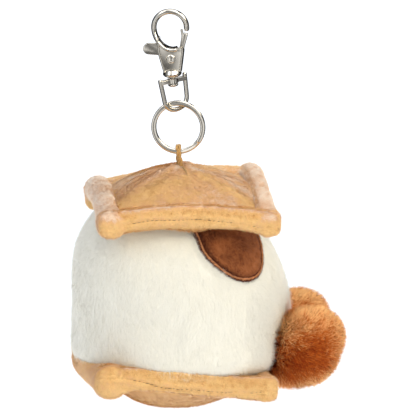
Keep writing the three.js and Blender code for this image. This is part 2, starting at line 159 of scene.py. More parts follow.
class Finish:
    """A material under construction."""

    def __init__(self, name):
        self.material = bpy.data.materials.new(name)
        self.material.use_nodes = True
        self.tree = self.material.node_tree
        self.tree.nodes.clear()

    def node(self, kind, settings=None, inputs=None, output=0):
        """Adds a node: its settings first, then its sockets' values or links."""
        made = self.tree.nodes.new(kind)
        for key, value in (settings or {}).items():
            if key == "stops":
                while len(made.color_ramp.elements) < len(value):
                    made.color_ramp.elements.new(0.5)
                for element, (position, colour) in zip(made.color_ramp.elements, value):
                    element.position = position
                    element.color = colour
            else:
                setattr(made, key, value)
        for key, value in (inputs or {}).items():
            if isinstance(value, Value):
                self.tree.links.new(value.socket, made.inputs[key])
            else:
                made.inputs[key].default_value = value
        return Value(self, made.outputs[output])

    def object_place(self):
        return self.node("ShaderNodeTexCoord", output="Object")

    def noise(self, place, size, detail=2.0, distortion=0.0):
        """Noise from 0 to 1, with patches about size metres across."""
        return self.node(
            "ShaderNodeTexNoise", None,
            {"Vector": place, "Scale": 1 / size, "Detail": detail, "Distortion": distortion},
        )

    def ramp(self, factor, stops):
        return self.node("ShaderNodeValToRGB", {"stops": stops}, {"Fac": factor}, "Color")

    def mix(self, factor, one, other, blend="MIX"):
        return self.node(
            "ShaderNodeMix", {"data_type": "RGBA", "blend_type": blend},
            {0: factor, 6: one, 7: other}, 2,
        )

    def bump(self, height, strength, distance):
        return self.node(
            "ShaderNodeBump", None,
            {"Height": height, "Strength": strength, "Distance": distance}, "Normal",
        )

    def finished(self, **sockets):
        """Ends the material in a Principled shader with these sockets."""
        named = {key.replace("_", " ").title().replace("Ior", "IOR"): v for key, v in sockets.items()}
        shader = self.node("ShaderNodeBsdfPrincipled", None, named)
        end = self.tree.nodes.new("ShaderNodeOutputMaterial")
        self.tree.links.new(shader.socket, end.inputs["Surface"])
        return self.material


def tint(code):
    """A colour written as six hexadecimal digits, in linear light."""
    parts = [int(code[i:i + 2], 16) / 255 for i in (0, 2, 4)]
    return tuple(p / 12.92 if p <= 0.04045 else ((p + 0.055) / 1.055) ** 2.4 for p in parts)


def opaque(colour, share=1.0):
    return (colour[0] * share, colour[1] * share, colour[2] * share, 1.0)


# ------------------------------------------------------------------ sums on points

def lerp(one, other, share):
    return one + (other - one) * share


def hump(x, width):
    return np.exp(-((x / width) ** 2))


def smooth_step(x, low, high):
    t = np.clip((x - low) / (high - low), 0, 1)
    return t * t * (3 - 2 * t)


def powered(values, power):
    """A power that keeps the sign."""
    return np.sign(values) * np.abs(values) ** power


def unit(vectors):
    return vectors / np.maximum(np.linalg.norm(vectors, axis=-1, keepdims=True), 1e-12)


def swirl_of(points, size, seed):
    """A smooth random direction at each point."""
    return np.stack([waves(points, size, seed + k) for k in range(3)], -1)


def waves(points, size, seed):
    """A smooth random field of about -1 to 1 whose lumps are size mm across."""
    count = 14
    rng = np.random.default_rng(seed)
    directions = unit(rng.normal(size=(count, 3)))
    lengths = size * rng.uniform(0.7, 1.6, count)
    phases = rng.uniform(0, 2 * math.pi, count)
    swing = points @ (directions / lengths[:, None]).T * math.pi + phases
    return np.sin(swing).sum(axis=1) / math.sqrt(count)


def turned(points, degrees, axis="z"):
    """Points turned about an axis through the origin."""
    c, s = math.cos(math.radians(degrees)), math.sin(math.radians(degrees))
    i, j = {"x": (1, 2), "y": (2, 0), "z": (0, 1)}[axis]
    made = np.array(points, float)
    made[..., i], made[..., j] = (
        points[..., i] * c - points[..., j] * s,
        points[..., i] * s + points[..., j] * c,
    )
    return made


def evenly(path, count):
    """Points evenly spaced along a chain of points."""
    path = np.asarray(path, float)
    run = np.concatenate([[0], np.cumsum(np.linalg.norm(np.diff(path, axis=0), axis=1))])
    where = np.linspace(0, run[-1], count)
    return np.stack([np.interp(where, run, path[:, k]) for k in range(path.shape[1])], -1)


def spline(points, count):
    """Evenly spaced points on a smooth curve through the given ones."""
    p = np.asarray(points, float)
    ends = np.vstack([2 * p[0] - p[1], p, 2 * p[-1] - p[-2]])
    t = np.linspace(0, 1, 24, endpoint=False)[:, None]
    runs = [
        0.5 * (2 * b + (c - a) * t + (2 * a - 5 * b + 4 * c - d) * t**2 + (3 * b - a - 3 * c + d) * t**3)
        for a, b, c, d in zip(ends, ends[1:], ends[2:], ends[3:])
    ]
    return evenly(np.vstack([*runs, p[-1:]]), count)


# ------------------------------------------------------------------ modelling

def nothing_selected():
    bpy.ops.object.select_all(action="DESELECT")


def named(obj, name):
    obj.name = name
    obj.data.name = name
    return obj


def only(obj):
    nothing_selected()
    obj.select_set(True)
    bpy.context.view_layer.objects.active = obj


def places(obj):
    """An object's vertices, in mm."""
    co = np.zeros(len(obj.data.vertices) * 3)
    obj.data.vertices.foreach_get("co", co)
    return co.reshape(-1, 3) / MM


def move_to(obj, points):
    obj.data.vertices.foreach_set("co", (np.asarray(points, float) * MM).ravel())
    obj.data.update()
    return obj


def normals_of(obj):
    found = np.zeros(len(obj.data.vertices) * 3)
    obj.data.vertices.foreach_get("normal", found)
    return found.reshape(-1, 3)


def ball(name, segments, rings):
    """A ball of radius 1 mm, with its poles along Z.

    Blender lists a new ball's faces in another order at each run, so they are sorted here.
    """
    nothing_selected()
    bpy.ops.mesh.primitive_uv_sphere_add(segments=segments, ring_count=rings, radius=MM)
    obj = named(bpy.context.object, name)
    points = [vertex.co.copy() for vertex in obj.data.vertices]
    faces = []
    for face in obj.data.polygons:
        corners = list(face.vertices)
        lowest = corners.index(min(corners))
        faces.append(corners[lowest:] + corners[:lowest])
    obj.data.clear_geometry()
    obj.data.from_pydata(points, [], sorted(faces))
    return obj


def tidy_mesh(obj, close_ends=False):
    """Merges doubles, closes open ends if asked and turns every face outwards."""
    only(obj)
    bpy.ops.object.mode_set(mode="EDIT")
    bpy.ops.mesh.select_all(action="SELECT")
    bpy.ops.mesh.remove_doubles(threshold=1e-4 * MM)
    bpy.ops.mesh.delete_loose()
    bpy.ops.mesh.select_all(action="SELECT")
    if close_ends:
        bpy.ops.mesh.fill_holes(sides=0)
        bpy.ops.mesh.select_all(action="SELECT")
    bpy.ops.mesh.normals_make_consistent(inside=False)
    bpy.ops.object.mode_set(mode="OBJECT")
    return obj


def modified(obj, kind, **settings):
    """Adds a modifier and applies it."""
    only(obj)
    modifier = obj.modifiers.new(kind.title(), kind)
    for key, value in settings.items():
        setattr(modifier, key, value)
    bpy.ops.object.modifier_apply(modifier=modifier.name)
    return obj


def softened(obj, degrees=180):
    """Shades an object smooth, apart from edges sharper than the given angle."""
    only(obj)
    if degrees >= 180:
        bpy.ops.object.shade_smooth()
    else:
        bpy.ops.object.shade_smooth_by_angle(angle=math.radians(degrees))
    return obj


def tube(name, path, section, sizes=None, first=(0, 1, 0)):
    """A section of [across, above] points swept along a path, which sizes scales at each point."""
    path, section = np.asarray(path, float), np.asarray(section, float)
    count, sides = len(path), len(section)
    sizes = np.ones(count) if sizes is None else np.asarray(sizes, float)
    along = unit(np.gradient(path, axis=0))
    above = np.asarray(first, float)
    grid = np.zeros((count, sides, 3))
    for i, (point, way, size) in enumerate(zip(path, along, sizes)):
        above = unit(above - way * (above @ way))
        across = np.cross(way, above)
        grid[i] = point + size * (section[:, :1] * across + section[:, 1:] * above)
    nothing_selected()
    bpy.ops.mesh.primitive_grid_add(x_subdivisions=count - 1, y_subdivisions=sides, size=2 * MM)
    obj = named(bpy.context.object, name)
    flat = places(obj)
    i = np.rint((flat[:, 0] + 1) / 2 * (count - 1)).astype(int)
    j = np.rint((flat[:, 1] + 1) / 2 * sides).astype(int) % sides
    move_to(obj, grid[i, j])
    return tidy_mesh(obj, close_ends=True)


def circle(radius, sides):
    angle = np.arange(sides) / sides * 2 * math.pi
    return np.stack([radius * np.cos(angle), radius * np.sin(angle)], -1)


def lathe(name, profile, steps, axis="z", at=(0, 0, 0)):
    """A closed profile of [radius, height] points spun about an axis through a point."""
    nothing_selected()
    bpy.ops.mesh.primitive_circle_add(vertices=len(profile), fill_type="NOTHING")
    obj = named(bpy.context.object, name)
    move_to(obj, [(r, 0, h) for r, h in profile])
    bpy.ops.object.mode_set(mode="EDIT")
    bpy.ops.mesh.select_all(action="SELECT")
    bpy.ops.mesh.spin(steps=steps, angle=2 * math.pi, center=(0, 0, 0), axis=(0, 0, 1))
    bpy.ops.object.mode_set(mode="OBJECT")
    tidy_mesh(obj)
    spun = turned(places(obj), 90, "x") if axis == "y" else places(obj)
    return tidy_mesh(move_to(obj, spun + np.array(at)))


def plate(name, outline, half, bevel=0.0, segments=3):
    """A flat outline in X and Z, thickened to both sides, with its edges rounded."""
    nothing_selected()
    bpy.ops.mesh.primitive_circle_add(vertices=len(outline), fill_type="NGON")
    obj = named(bpy.context.object, name)
    move_to(obj, [(x, -half, z) for x, z in outline])
    bpy.ops.object.mode_set(mode="EDIT")
    bpy.ops.mesh.select_all(action="SELECT")
    bpy.ops.mesh.extrude_region_move(TRANSFORM_OT_translate={"value": (0, 2 * half * MM, 0)})
    bpy.ops.object.mode_set(mode="OBJECT")
    tidy_mesh(obj)
    if bevel:
        modified(
            obj, "BEVEL", width=bevel * MM, segments=segments,
            limit_method="ANGLE", angle_limit=math.radians(50),
        )
    return obj


def united(name, objects):
    """Several objects joined into one."""
    only(objects[0])
    for obj in objects:
        obj.select_set(True)
    bpy.ops.object.join()
    return named(bpy.context.object, name)


def cut(obj, cutter):
    """Takes the cutter's volume away from an object, and removes the cutter."""
    modified(obj, "BOOLEAN", operation="DIFFERENCE", solver="EXACT", object=cutter)
    bpy.data.objects.remove(cutter)
    return obj


def copied(name, pattern, points, along, out, sizes):
    """One piece that holds a copy of a pattern at each point, with its X along and its Z out."""
    shape = places(pattern)
    faces = np.array([list(f.vertices) + [-1] * (4 - len(f.vertices)) for f in pattern.data.polygons])
    along = unit(along)
    out = unit(out - along * (out * along).sum(-1, keepdims=True))
    side = np.cross(out, along)
    spread = (
        shape[None, :, :1] * along[:, None] * sizes[:, None, :1]
        + shape[None, :, 1:2] * side[:, None] * sizes[:, None, 1:2]
        + shape[None, :, 2:] * out[:, None] * sizes[:, None, 2:]
    )
    at = (points[:, None] + spread).reshape(-1, 3)
    each = [[i for i in face if i >= 0] for face in faces.tolist()]
    every = [[i + k * len(shape) for i in face] for k in range(len(points)) for face in each]
    mesh = bpy.data.meshes.new(name)
    mesh.from_pydata((at * MM).tolist(), [], every)
    obj = bpy.data.objects.new(name, mesh)
    bpy.context.scene.collection.objects.link(obj)
    bpy.data.objects.remove(pattern)
    return softened(obj)


def set_tone(obj, tone):
    """Keeps a tone for each vertex, which the fabric's colour and its pile follow."""
    attribute = obj.data.attributes.new("tone", "FLOAT", "POINT")
    attribute.data.foreach_set("value", np.clip(tone, *TONE_LIMITS).astype(np.float32))


def piece(obj, body, material, replaces=()):
    """Dresses a finished piece and lets it ride on its body."""
    obj.data.materials.clear()
    obj.data.materials.append(material)
    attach(obj, body)
    if replaces:
        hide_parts(*replaces)
    return obj


# ------------------------------------------------------------------ pile

def scattered(under, count, rng, cover):
    """Places, normals and tones at random on an object, more where cover is nearer 1."""
    mesh = under.data
    mesh.calc_loop_triangles()
    corners = np.zeros(len(mesh.loop_triangles) * 3, int)
    mesh.loop_triangles.foreach_get("vertices", corners)
    corners = corners.reshape(-1, 3)
    points, normals = places(under), normals_of(under)
    tones = np.zeros(len(points), np.float32)
    mesh.attributes["tone"].data.foreach_get("value", tones)
    a, b, c = (points[corners[:, k]] for k in range(3))
    area = np.linalg.norm(np.cross(b - a, c - a), axis=1)
    weight = area * np.clip(cover((a + b + c) / 3, unit(normals[corners].sum(axis=1))), 0, 1)
    chosen = rng.choice(len(corners), size=count, p=weight / weight.sum())
    share = rng.random((count, 2))
    share = np.where(share.sum(axis=1, keepdims=True) > 1, 1 - share, share)
    share = np.column_stack([1 - share.sum(axis=1), share])
    mixed = [
        (values[corners[chosen]] * share[:, :, None]).sum(axis=1)
        for values in (points, normals, tones[:, None])
    ]
    return mixed[0], unit(mixed[1]), mixed[2][:, 0]


def pile(name, under, count, length, width, lift, comb, seed, cover, tone_spread, shine,
         joints=1, droop=0.3, length_spread=0.35, clumps=0.0):
    """Blades of pile that stand on a fabric, lean the way they are combed and draw into clumps."""
    tangle, sunk, taper = 0.35, 0.12, 0.35
    rng = np.random.default_rng(seed)
    roots, normals, tones = scattered(under, count, rng, cover)
    clump = swirl_of(roots, 0.9, seed) + 0.7 * swirl_of(roots, 2, seed + 5)
    tones = tones + clumps * clump[:, 0]
    combed = unit(comb(roots, normals)) + 3 * clumps * clump + rng.normal(scale=tangle, size=(count, 3))
    lying = unit(combed - normals * (combed * normals).sum(-1, keepdims=True))
    side = np.cross(lying, normals)
    rolled = rng.normal(scale=0.35, size=(count, 1))
    side = unit(side + normals * rolled)
    tall = length * (1 + length_spread * rng.uniform(-1, 1, (count, 1)))
    angle = np.radians(lift) * (1 + 0.35 * rng.normal(size=(count, 1)))
    rise, reach = np.sin(angle), np.cos(angle)
    roots = roots - normals * sunk
    rows = []
    for j in range(joints + 1):
        t = j / joints
        centre = roots + tall * (
            normals * rise * (t - droop * t * t) + lying * reach * (t + 0.4 * droop * t * t)
        )
        half = side * width / 2 * (1 - taper * t)
        rows += [centre - half, centre + half] if j < joints else [centre]
    per = len(rows)
    points = np.stack(rows, axis=1).reshape(-1, 3)
    faces = []
    for j in range(joints - 1):
        faces += [(2 * j, 2 * j + 1, 2 * j + 2), (2 * j + 1, 2 * j + 3, 2 * j + 2)]
    faces.append((per - 3, per - 2, per - 1))
    faces = (np.arange(count)[:, None, None] * per + np.array(faces)[None]).reshape(-1, 3)
    mesh = bpy.data.meshes.new(name)
    mesh.vertices.add(len(points))
    mesh.vertices.foreach_set("co", (points * MM).ravel())
    mesh.loops.add(faces.size)
    mesh.loops.foreach_set("vertex_index", faces.ravel().astype(np.int32))
    mesh.polygons.add(len(faces))
    mesh.polygons.foreach_set("loop_start", np.arange(0, faces.size, 3, dtype=np.int32))
    mesh.polygons.foreach_set("use_smooth", np.ones(len(faces), bool))
    mesh.update(calc_edges=True)
    up_blade = np.repeat(np.arange(joints + 1) / joints, 2)[:per]
    tones = np.clip(tones + rng.normal(scale=tone_spread, size=count), *TONE_LIMITS)
    bright = 1.6 * clumps * clump[:, 1] + 0.6 * clumps * rng.normal(size=count)
    up_blade = (up_blade[None] + bright[:, None]).ravel()
    spots = np.stack([np.repeat(tones, per), np.clip(0.03 + 0.94 * up_blade, *TONE_LIMITS)], -1)
    layer = mesh.uv_layers.new(name=PILE_MAP)
    layer.uv.foreach_set("vector", spots[faces.ravel()].astype(np.float32).ravel())
    facing = unit(normals + shine * (lying * 0.5 + 0.6 * rng.normal(size=(count, 3))))
    mesh.normals_split_custom_set_from_vertices(np.repeat(facing, per, axis=0))
    obj = bpy.data.objects.new(name, mesh)
    bpy.context.scene.collection.objects.link(obj)
    return obj


def plush(name, stops, root, standing=False, tip=1.08, sheen=0.2, climb=0.1):
    """Pile fabric. Its colour follows the tone, and the pile's also climbs from root to tip, darker at the
    root as painted shade among the blades and brighter at the tip as a painted highlight.
    """
    finish = Finish(name)
    if standing:
        spot = finish.node("ShaderNodeUVMap", {"uv_map": PILE_MAP})
        split = {"Vector": spot}
        tone = finish.node("ShaderNodeSeparateXYZ", None, split, "X")
        height = finish.node("ShaderNodeSeparateXYZ", None, split, "Y")
        # Painted shade towards the root and a painted highlight past 1 at the tip; climb moves the tips to
        # paler tones, partly the pile's own colour and partly painted sheen.
        shade = finish.ramp(
            height, [(0.0, opaque((root,) * 3)), (0.6, (1, 1, 1, 1)), (1.0, opaque((tip,) * 3))])
        colour = finish.mix(1.0, finish.ramp(tone + (height - 0.5) * climb, stops), shade, "MULTIPLY")
        return finish.finished(
            base_color=colour, roughness=0.9, sheen_weight=sheen, sheen_roughness=0.45,
            specular_ior_level=0.15,
        )
    place = finish.object_place()
    tone = finish.node("ShaderNodeAttribute", {"attribute_name": "tone"}, None, "Fac")
    fleck = finish.noise(place, 0.0006, 3.0)
    patch = finish.noise(place, 0.006, 2.0)
    colour = finish.ramp(tone + (fleck - 0.5) * 0.16 + (patch - 0.5) * 0.08, stops)
    colour = finish.mix(0.25 * fleck, colour, opaque((root * 0.8,) * 3), "MULTIPLY")
    return finish.finished(
        base_color=colour, roughness=0.95, sheen_weight=sheen, sheen_roughness=0.45,
        specular_ior_level=0.1, normal=finish.bump(fleck, 0.5, 0.0003),
    )


# ------------------------------------------------------------------ the marshmallow's shape

def roundness(height):
    """How wide the marshmallow is at a height, as a share of its radius."""
    over = height > BODY["waist"]
    reach = np.where(over, BODY["above"], BODY["below"])
    power = np.where(over, BODY["sharp_above"], BODY["sharp_below"])
    share = np.minimum(np.abs(height - BODY["waist"]) / reach, 1)
    return (1 - share**power) ** (1 / power)


def axis_at(height):
    return BODY["shift"] + BODY["lean"] * np.maximum(0, height - BODY["waist"])


def body_profile(count):
    """Evenly spaced [radius, height] points from the marshmallow's top to its underside."""
    angle = np.linspace(math.pi / 2, -math.pi / 2, 4001)
    reach = np.where(angle > 0, BODY["above"], BODY["below"])
    height = BODY["waist"] + np.sin(angle) * reach
    power = np.where(angle > 0, BODY["sharp_above"], BODY["sharp_below"])
    wide = (1 - np.minimum(np.abs(np.sin(angle)), 1) ** power) ** (1 / power)
    wide[[0, -1]] = 0
    return evenly(np.stack([wide * BODY["radius"], height], -1), count)


def beside_body(points, room):
    """Moves points that lie in the marshmallow, or closer than room, level out of it."""
    p = np.array(points, float)
    p[:, 0] -= axis_at(p[:, 2])
    p[:, 1] /= BODY["depth_share"]
    allowed = BODY["radius"] * roundness(p[:, 2]) + room
    around = np.maximum(np.hypot(p[:, 0], p[:, 1]), 1e-6)
    grow = np.maximum(allowed * (roundness(p[:, 2]) > 0.3) / around, 1)
    p[:, 0] = p[:, 0] * grow + axis_at(p[:, 2])
    p[:, 1] *= grow * BODY["depth_share"]
    return p


def outside_body(points, room):
    """Moves points that lie in the marshmallow, or closer than room, out to it."""
    p = np.array(points, float)
    p[:, 0] -= axis_at(p[:, 2])
    p[:, 1] /= BODY["depth_share"]
    over = p[:, 2] > BODY["waist"]
    reach = np.where(over, BODY["above"], BODY["below"]) + room
    power = np.where(over, BODY["sharp_above"], BODY["sharp_below"])
    level = np.abs(p[:, 2] - BODY["waist"]) / reach
    around = np.hypot(p[:, 0], p[:, 1]) / (BODY["radius"] + room)
    size = (level**power + around**power) ** (1 / power)
    grow = np.where(size < 1, 1 / np.maximum(size, 1e-6), 1)[:, None]
    centre = np.array([0, 0, BODY["waist"]])
    p = centre + (p - centre) * grow
    p[:, 0] += axis_at(p[:, 2])
    p[:, 1] *= BODY["depth_share"]
    return p


def on_body(across, height, heading, out):
    """Where a line that faces a heading leaves the marshmallow, or a skin out mm thicker."""
    a = math.radians(heading)
    way = np.array([math.cos(a), math.sin(a) / BODY["depth_share"]])
    start = np.stack([
        -across * math.sin(a) - axis_at(height),
        across * math.cos(a) / BODY["depth_share"],
    ], -1)
    radius = BODY["radius"] * roundness(height) + out
    half = start @ way / (way @ way)
    far = half**2 - ((start**2).sum(-1) - radius**2) / (way @ way)
    t = -half + np.sqrt(np.maximum(far, 0))
    return np.stack([
        -across * math.sin(a) + t * math.cos(a),
        across * math.cos(a) + t * math.sin(a),
        height,
    ], -1)


# ------------------------------------------------------------------ the crackers' shapes

RUNS = {  # the corners that a roll joins, and on which side of its direction its outside lies
    "back": ("back_right", "back_left", -1),
    "front": ("front_right", "front_left", 1),
    "right": ("back_right", "front_right", 1),
    "left": ("back_left", "front_left", -1),
}
CORNER_SIDES = {
    "back_right": (-1, -1), "front_right": (1, -1), "front_left": (1, 1), "back_left": (-1, 1),
}


def corner_of(cracker, name):
    """The centre and radius of a corner, before the cracker is turned."""
    height, radius = cracker[name]
    x, y = CORNER_SIDES[name]
    half_x, half_y = cracker["side_x"] / 2 - radius, cracker["side_y"] / 2 - radius
    return np.array([cracker["centre"] + x * half_x, y * half_y, height]), radius


def rim_height(cracker, u, v):
    heights = {name: cracker[name][0] for name in CORNER_SIDES}
    right = lerp(heights["back_right"], heights["front_right"], (u + 1) / 2) - cracker["drop"]["right"]
    left = lerp(heights["back_left"], heights["front_left"], (u + 1) / 2) - cracker["drop"]["left"]
    return lerp(right, left, (v + 1) / 2) + cracker["arch"] * (1 - u**2 * v**2)


def roll_points(cracker, which, along, cap, around, swell):
    """Points on a rim roll. around is 0 outwards and 90 upwards, cap bends over the round ends."""
    first, last, sign = RUNS[which]
    (start, start_radius), (end, end_radius) = corner_of(cracker, first), corner_of(cracker, last)
    way = unit(end - start)
    side = unit(np.cross(way, UP))
    above = np.cross(side, way)
    radius = lerp(ROLL_RADIUS, np.where(along < 0, start_radius, end_radius), along**4)
    is_side = which in ("right", "left")
    if is_side:
        squareness = lerp(0.74, 0.85, along**8)
    else:
        squareness = lerp(1, 0.82, smooth_step(np.abs(cap), 5, 45))
    level, upright = np.cos(np.radians(around)), np.sin(np.radians(around))
    bend = 1 - along**2
    ring = (radius + swell) * powered(np.cos(np.radians(cap)), END_SHAPE)
    beyond = (radius + swell) * powered(np.sin(np.radians(cap)), END_SHAPE)
    out = -cracker["bow"] * bend if which == "back" else 0
    deep = ring - (radius - ROLL_RADIUS if is_side and cracker is TOP else 0)
    if is_side and cracker is BOTTOM:
        deep = deep + 1.7 * (1 - smooth_step(along, -0.5, 0.5)) * (level > 0)
    across = sign * deep * powered(level, squareness) + out
    rise = ring * powered(upright, squareness) + cracker["arch"] * bend
    if is_side:
        lip = np.interp(along, (-0.8, -0.1, 0.6), cracker["lip"]) * (1 - along**6)
        rise = rise + lip * smooth_step(upright, 0, 1)
        tuck = np.interp(along, (-0.95, -0.72, -0.3, 0.1), (0, 2.2, 1, 0)) * (cracker is BOTTOM)
        rise = rise + tuck * smooth_step(-upright, 0, 1)
    point = lerp(start, end, (along[:, None] + 1) / 2)
    point = point + way * beyond[:, None] + side * across[:, None] + above * rise[:, None]
    point[:, 2] -= cracker["drop"].get(which, 0)
    return point


def rim_roll(cracker, which):
    """A stuffed rim roll, the depth of the folds sewn into it and the tone of its pile."""
    seam = band_seam(cracker) if which in ("right", "left") else end_roll_seam(cracker, which)
    obj = ball(f"roll_{which}", 96, 130)
    p = places(obj)
    s = np.arccos(np.clip(p[:, 2], -1, 1)) / math.pi
    around = np.degrees(np.arctan2(p[:, 1], p[:, 0]))
    cap = 90 * (np.clip((s - 1 + CAP_SHARE) / CAP_SHARE, 0, 1) - np.clip(1 - s / CAP_SHARE, 0, 1))
    along = np.clip((s - CAP_SHARE) / (1 - 2 * CAP_SHARE), 0, 1) * 2 - 1
    swell, tone = seam(along, around, cap)
    at = roll_points(cracker, which, along, cap, around, 0 * along)
    at = turned(at, cracker["turn"])
    lumps = 0.16 * waves(at, 12, 11) + 0.05 * waves(at, 4, 12) - 0.3
    flat = np.abs(cap) < 85
    move_to(obj, at)
    at = at + normals_of(obj) * (lumps * flat)[:, None]
    if cracker is TOP:
        at = outside_body(at, CLEAR_OF_BODY)
    else:
        at = beside_body(at, CLEAR_OF_BODY + 1.2 * np.maximum(0, np.cos(np.radians(around))))
    move_to(obj, at)
    return obj, swell, tone


def rim(name, cracker):
    """The four rim rolls of a cracker, drawn into one skin with their folds sewn into it."""
    rolls, swells, tones = zip(*(rim_roll(cracker, which) for which in RUNS))
    source = np.vstack([places(roll) for roll in rolls])
    kept = np.column_stack([np.concatenate(swells), np.concatenate(tones)])
    skin = united(name, list(rolls))
    modified(skin, "REMESH", mode="VOXEL", voxel_size=0.5 * MM)
    modified(skin, "SMOOTH", factor=0.5, iterations=14)
    tree = KDTree(len(source))
    for index, point in enumerate(source):
        tree.insert(point, index)
    tree.balance()
    at = places(skin)
    found = np.zeros((len(at), 2))
    for index, point in enumerate(at):
        near = tree.find_n(point, 5)
        share = np.array([1 / (gap + 0.15) ** 2 for _, _, gap in near])
        found[index] = share @ kept[[which for _, which, _ in near]] / share.sum()
    swell, tone = found.T
    move_to(skin, at + normals_of(skin) * swell[:, None])
    mottle = 0.03 * waves(at, 8, 21) + 0.02 * waves(at, 2.5, 22)
    set_tone(skin, tone + mottle * (tone > 0.15))
    return softened(skin)


def band_seam(cracker):
    """The fold and the piping of a side roll: its swell and tone at each vertex. The tone paints shade into
    the folds, the crease and the hem's underside, and a highlight along the piping.
    """
    top = cracker is TOP

    def seam(along, around, cap):
        off = around - band_line(cracker, along)
        upper = 66 if top else 74
        second = 24 + 5 * np.sin(along * 6)
        piping = hump(around - upper, 10 if top else 7)
        swell = 0.35 * piping - 0.5 * hump(off, 5) + 0.2 * hump(off - 11, 5) + 0.2 * hump(off + 12, 6)
        swell = swell - 0.22 * hump(off - second, 5) - 0.1 * hump(off + 25 + 4 * np.sin(along * 9), 5)
        tone = np.full_like(around, GOLD)
        tone = lerp(tone, GOLD - 0.07, smooth_step(off, 16, 30))
        tone = lerp(tone, TAN, smooth_step(around, 76, 120))
        # Painted highlight: the pile along the piping is paler.
        tone = lerp(tone, PALE, 0.97 * piping)
        tone = lerp(tone, TAN, 0.35 * (hump(off - 11, 6) + hump(off + 12, 6)))
        if top:
            # Painted shade: the hem bulge low in the band's middle takes the deep tone on its underside.
            hem = hump(along - 0.02, 0.22) * hump(around + 82, 14)
            swell = swell + 1.7 * hem
            tone = lerp(tone, DEEP, 0.85 * hem)
        else:
            lower = hump(around + 62, 7)
            swell = swell + 0.35 * lower
            # Painted highlight: the pile along the lower edge is paler.
            tone = lerp(tone, PALE, 0.9 * lower)
            tone = lerp(tone, TAN, smooth_step(-around, 70, 105))
        # Painted shade: the deep tone in the fold and, fainter, in the second fold above it.
        tone = lerp(tone, DEEP, 0.4 * hump(off, 4))
        tone = lerp(tone, DEEP, 0.2 * hump(off - second, 4))
        if top:
            # Painted shade: the deep tone in the crease near the band's back end.
            crease = hump(along + 0.9, 0.012) * smooth_step(around, -60, -30)
            swell, tone = swell - 0.4 * crease, lerp(tone, DEEP, 0.5 * crease)
        return swell, tone

    return seam


def band_line(cracker, along):
    """Where the fold runs round a side roll, in degrees up from its outside."""
    if cracker is TOP:
        return np.interp(along, (-1, -0.5, 0.0, 0.5, 1), (-4, -2, -3, -8, -18)) + 1.5 * np.sin(along * 9)
    where = (-1, -0.8, -0.63, -0.38, -0.08, 0.32, 0.77, 1)
    return np.interp(along, where, (24, 22, 12, -6, -11, -20, -16, 2)) + 1.5 * np.sin(along * 11)


def end_roll_seam(cracker, which):
    """The swell and tone of a front or back roll, whose round ends carry the bands' fold on. Its tone paints
    shade into the creases and the inner seam, and a highlight round the bottom back roll's knob.
    """
    middle = {"back": (0.05, 0.5), "front": (-0.2, -0.05)}[which][cracker is BOTTOM]

    def seam(along, around, cap):
        end = smooth_step(np.abs(cap), 12, 45)
        level = np.cos(np.radians(cap)) ** END_SHAPE * np.sin(np.radians(around))
        fold = level - middle + 0.06 * np.sin(np.radians(around * 3))
        creases = 0.35 * hump(fold, 0.07) + 0.2 * hump(fold + 0.3, 0.06)
        swell = end * (0.15 * hump(fold - 0.2, 0.1) - creases)
        tone = np.full_like(around, TAN + (0.15 if cracker is TOP else -0.1))
        low = -0.75 if cracker is TOP else -1.6
        tone = lerp(tone, GOLD, 0.95 * end * smooth_step(-level, low, low + 0.55))
        # Painted shade: the deep tone in the creases.
        tone = lerp(tone, DEEP, 0.3 * end * (hump(fold, 0.06) + 0.6 * hump(fold + 0.3, 0.06)))
        # Painted highlight: a pale ring round the bottom back roll's knob.
        if cracker is BOTTOM and which == "back":
            tone = lerp(tone, PALE, 0.4 * hump(np.abs(cap) - 12, 4))
        inner = hump(np.abs(around) - 133, 7) * (around > 0)
        swell = swell - 0.3 * inner
        # Painted shade: the seam tone in the inner groove.
        tone = lerp(tone, SEAM, 0.6 * inner * (np.abs(cap) < 20))
        return swell, tone

    return seam


def cushion(name, cells):
    """A block of 2 mm, whose upper and lower sides are cut into cells."""
    nothing_selected()
    bpy.ops.mesh.primitive_grid_add(
        x_subdivisions=cells, y_subdivisions=cells, size=2 * MM, location=(0, 0, 0))
    obj = named(bpy.context.object, name)
    move_to(obj, places(obj) - UP)
    bpy.ops.object.mode_set(mode="EDIT")
    bpy.ops.mesh.select_all(action="SELECT")
    bpy.ops.mesh.extrude_region_move(TRANSFORM_OT_translate={"value": (0, 0, 2 * MM)})
    bpy.ops.object.mode_set(mode="OBJECT")
    return tidy_mesh(obj)


def pad_places(cracker, u, v, height):
    """Points of a cracker's middle, out to its rolls' centrelines."""
    low, _ = corner_of(cracker, "back_left")
    high, _ = corner_of(cracker, "front_right")
    x = lerp(low[0], high[0], (u + 1) / 2)
    y = lerp(high[1], low[1], (v + 1) / 2)
    return np.stack([x, y, height], -1)


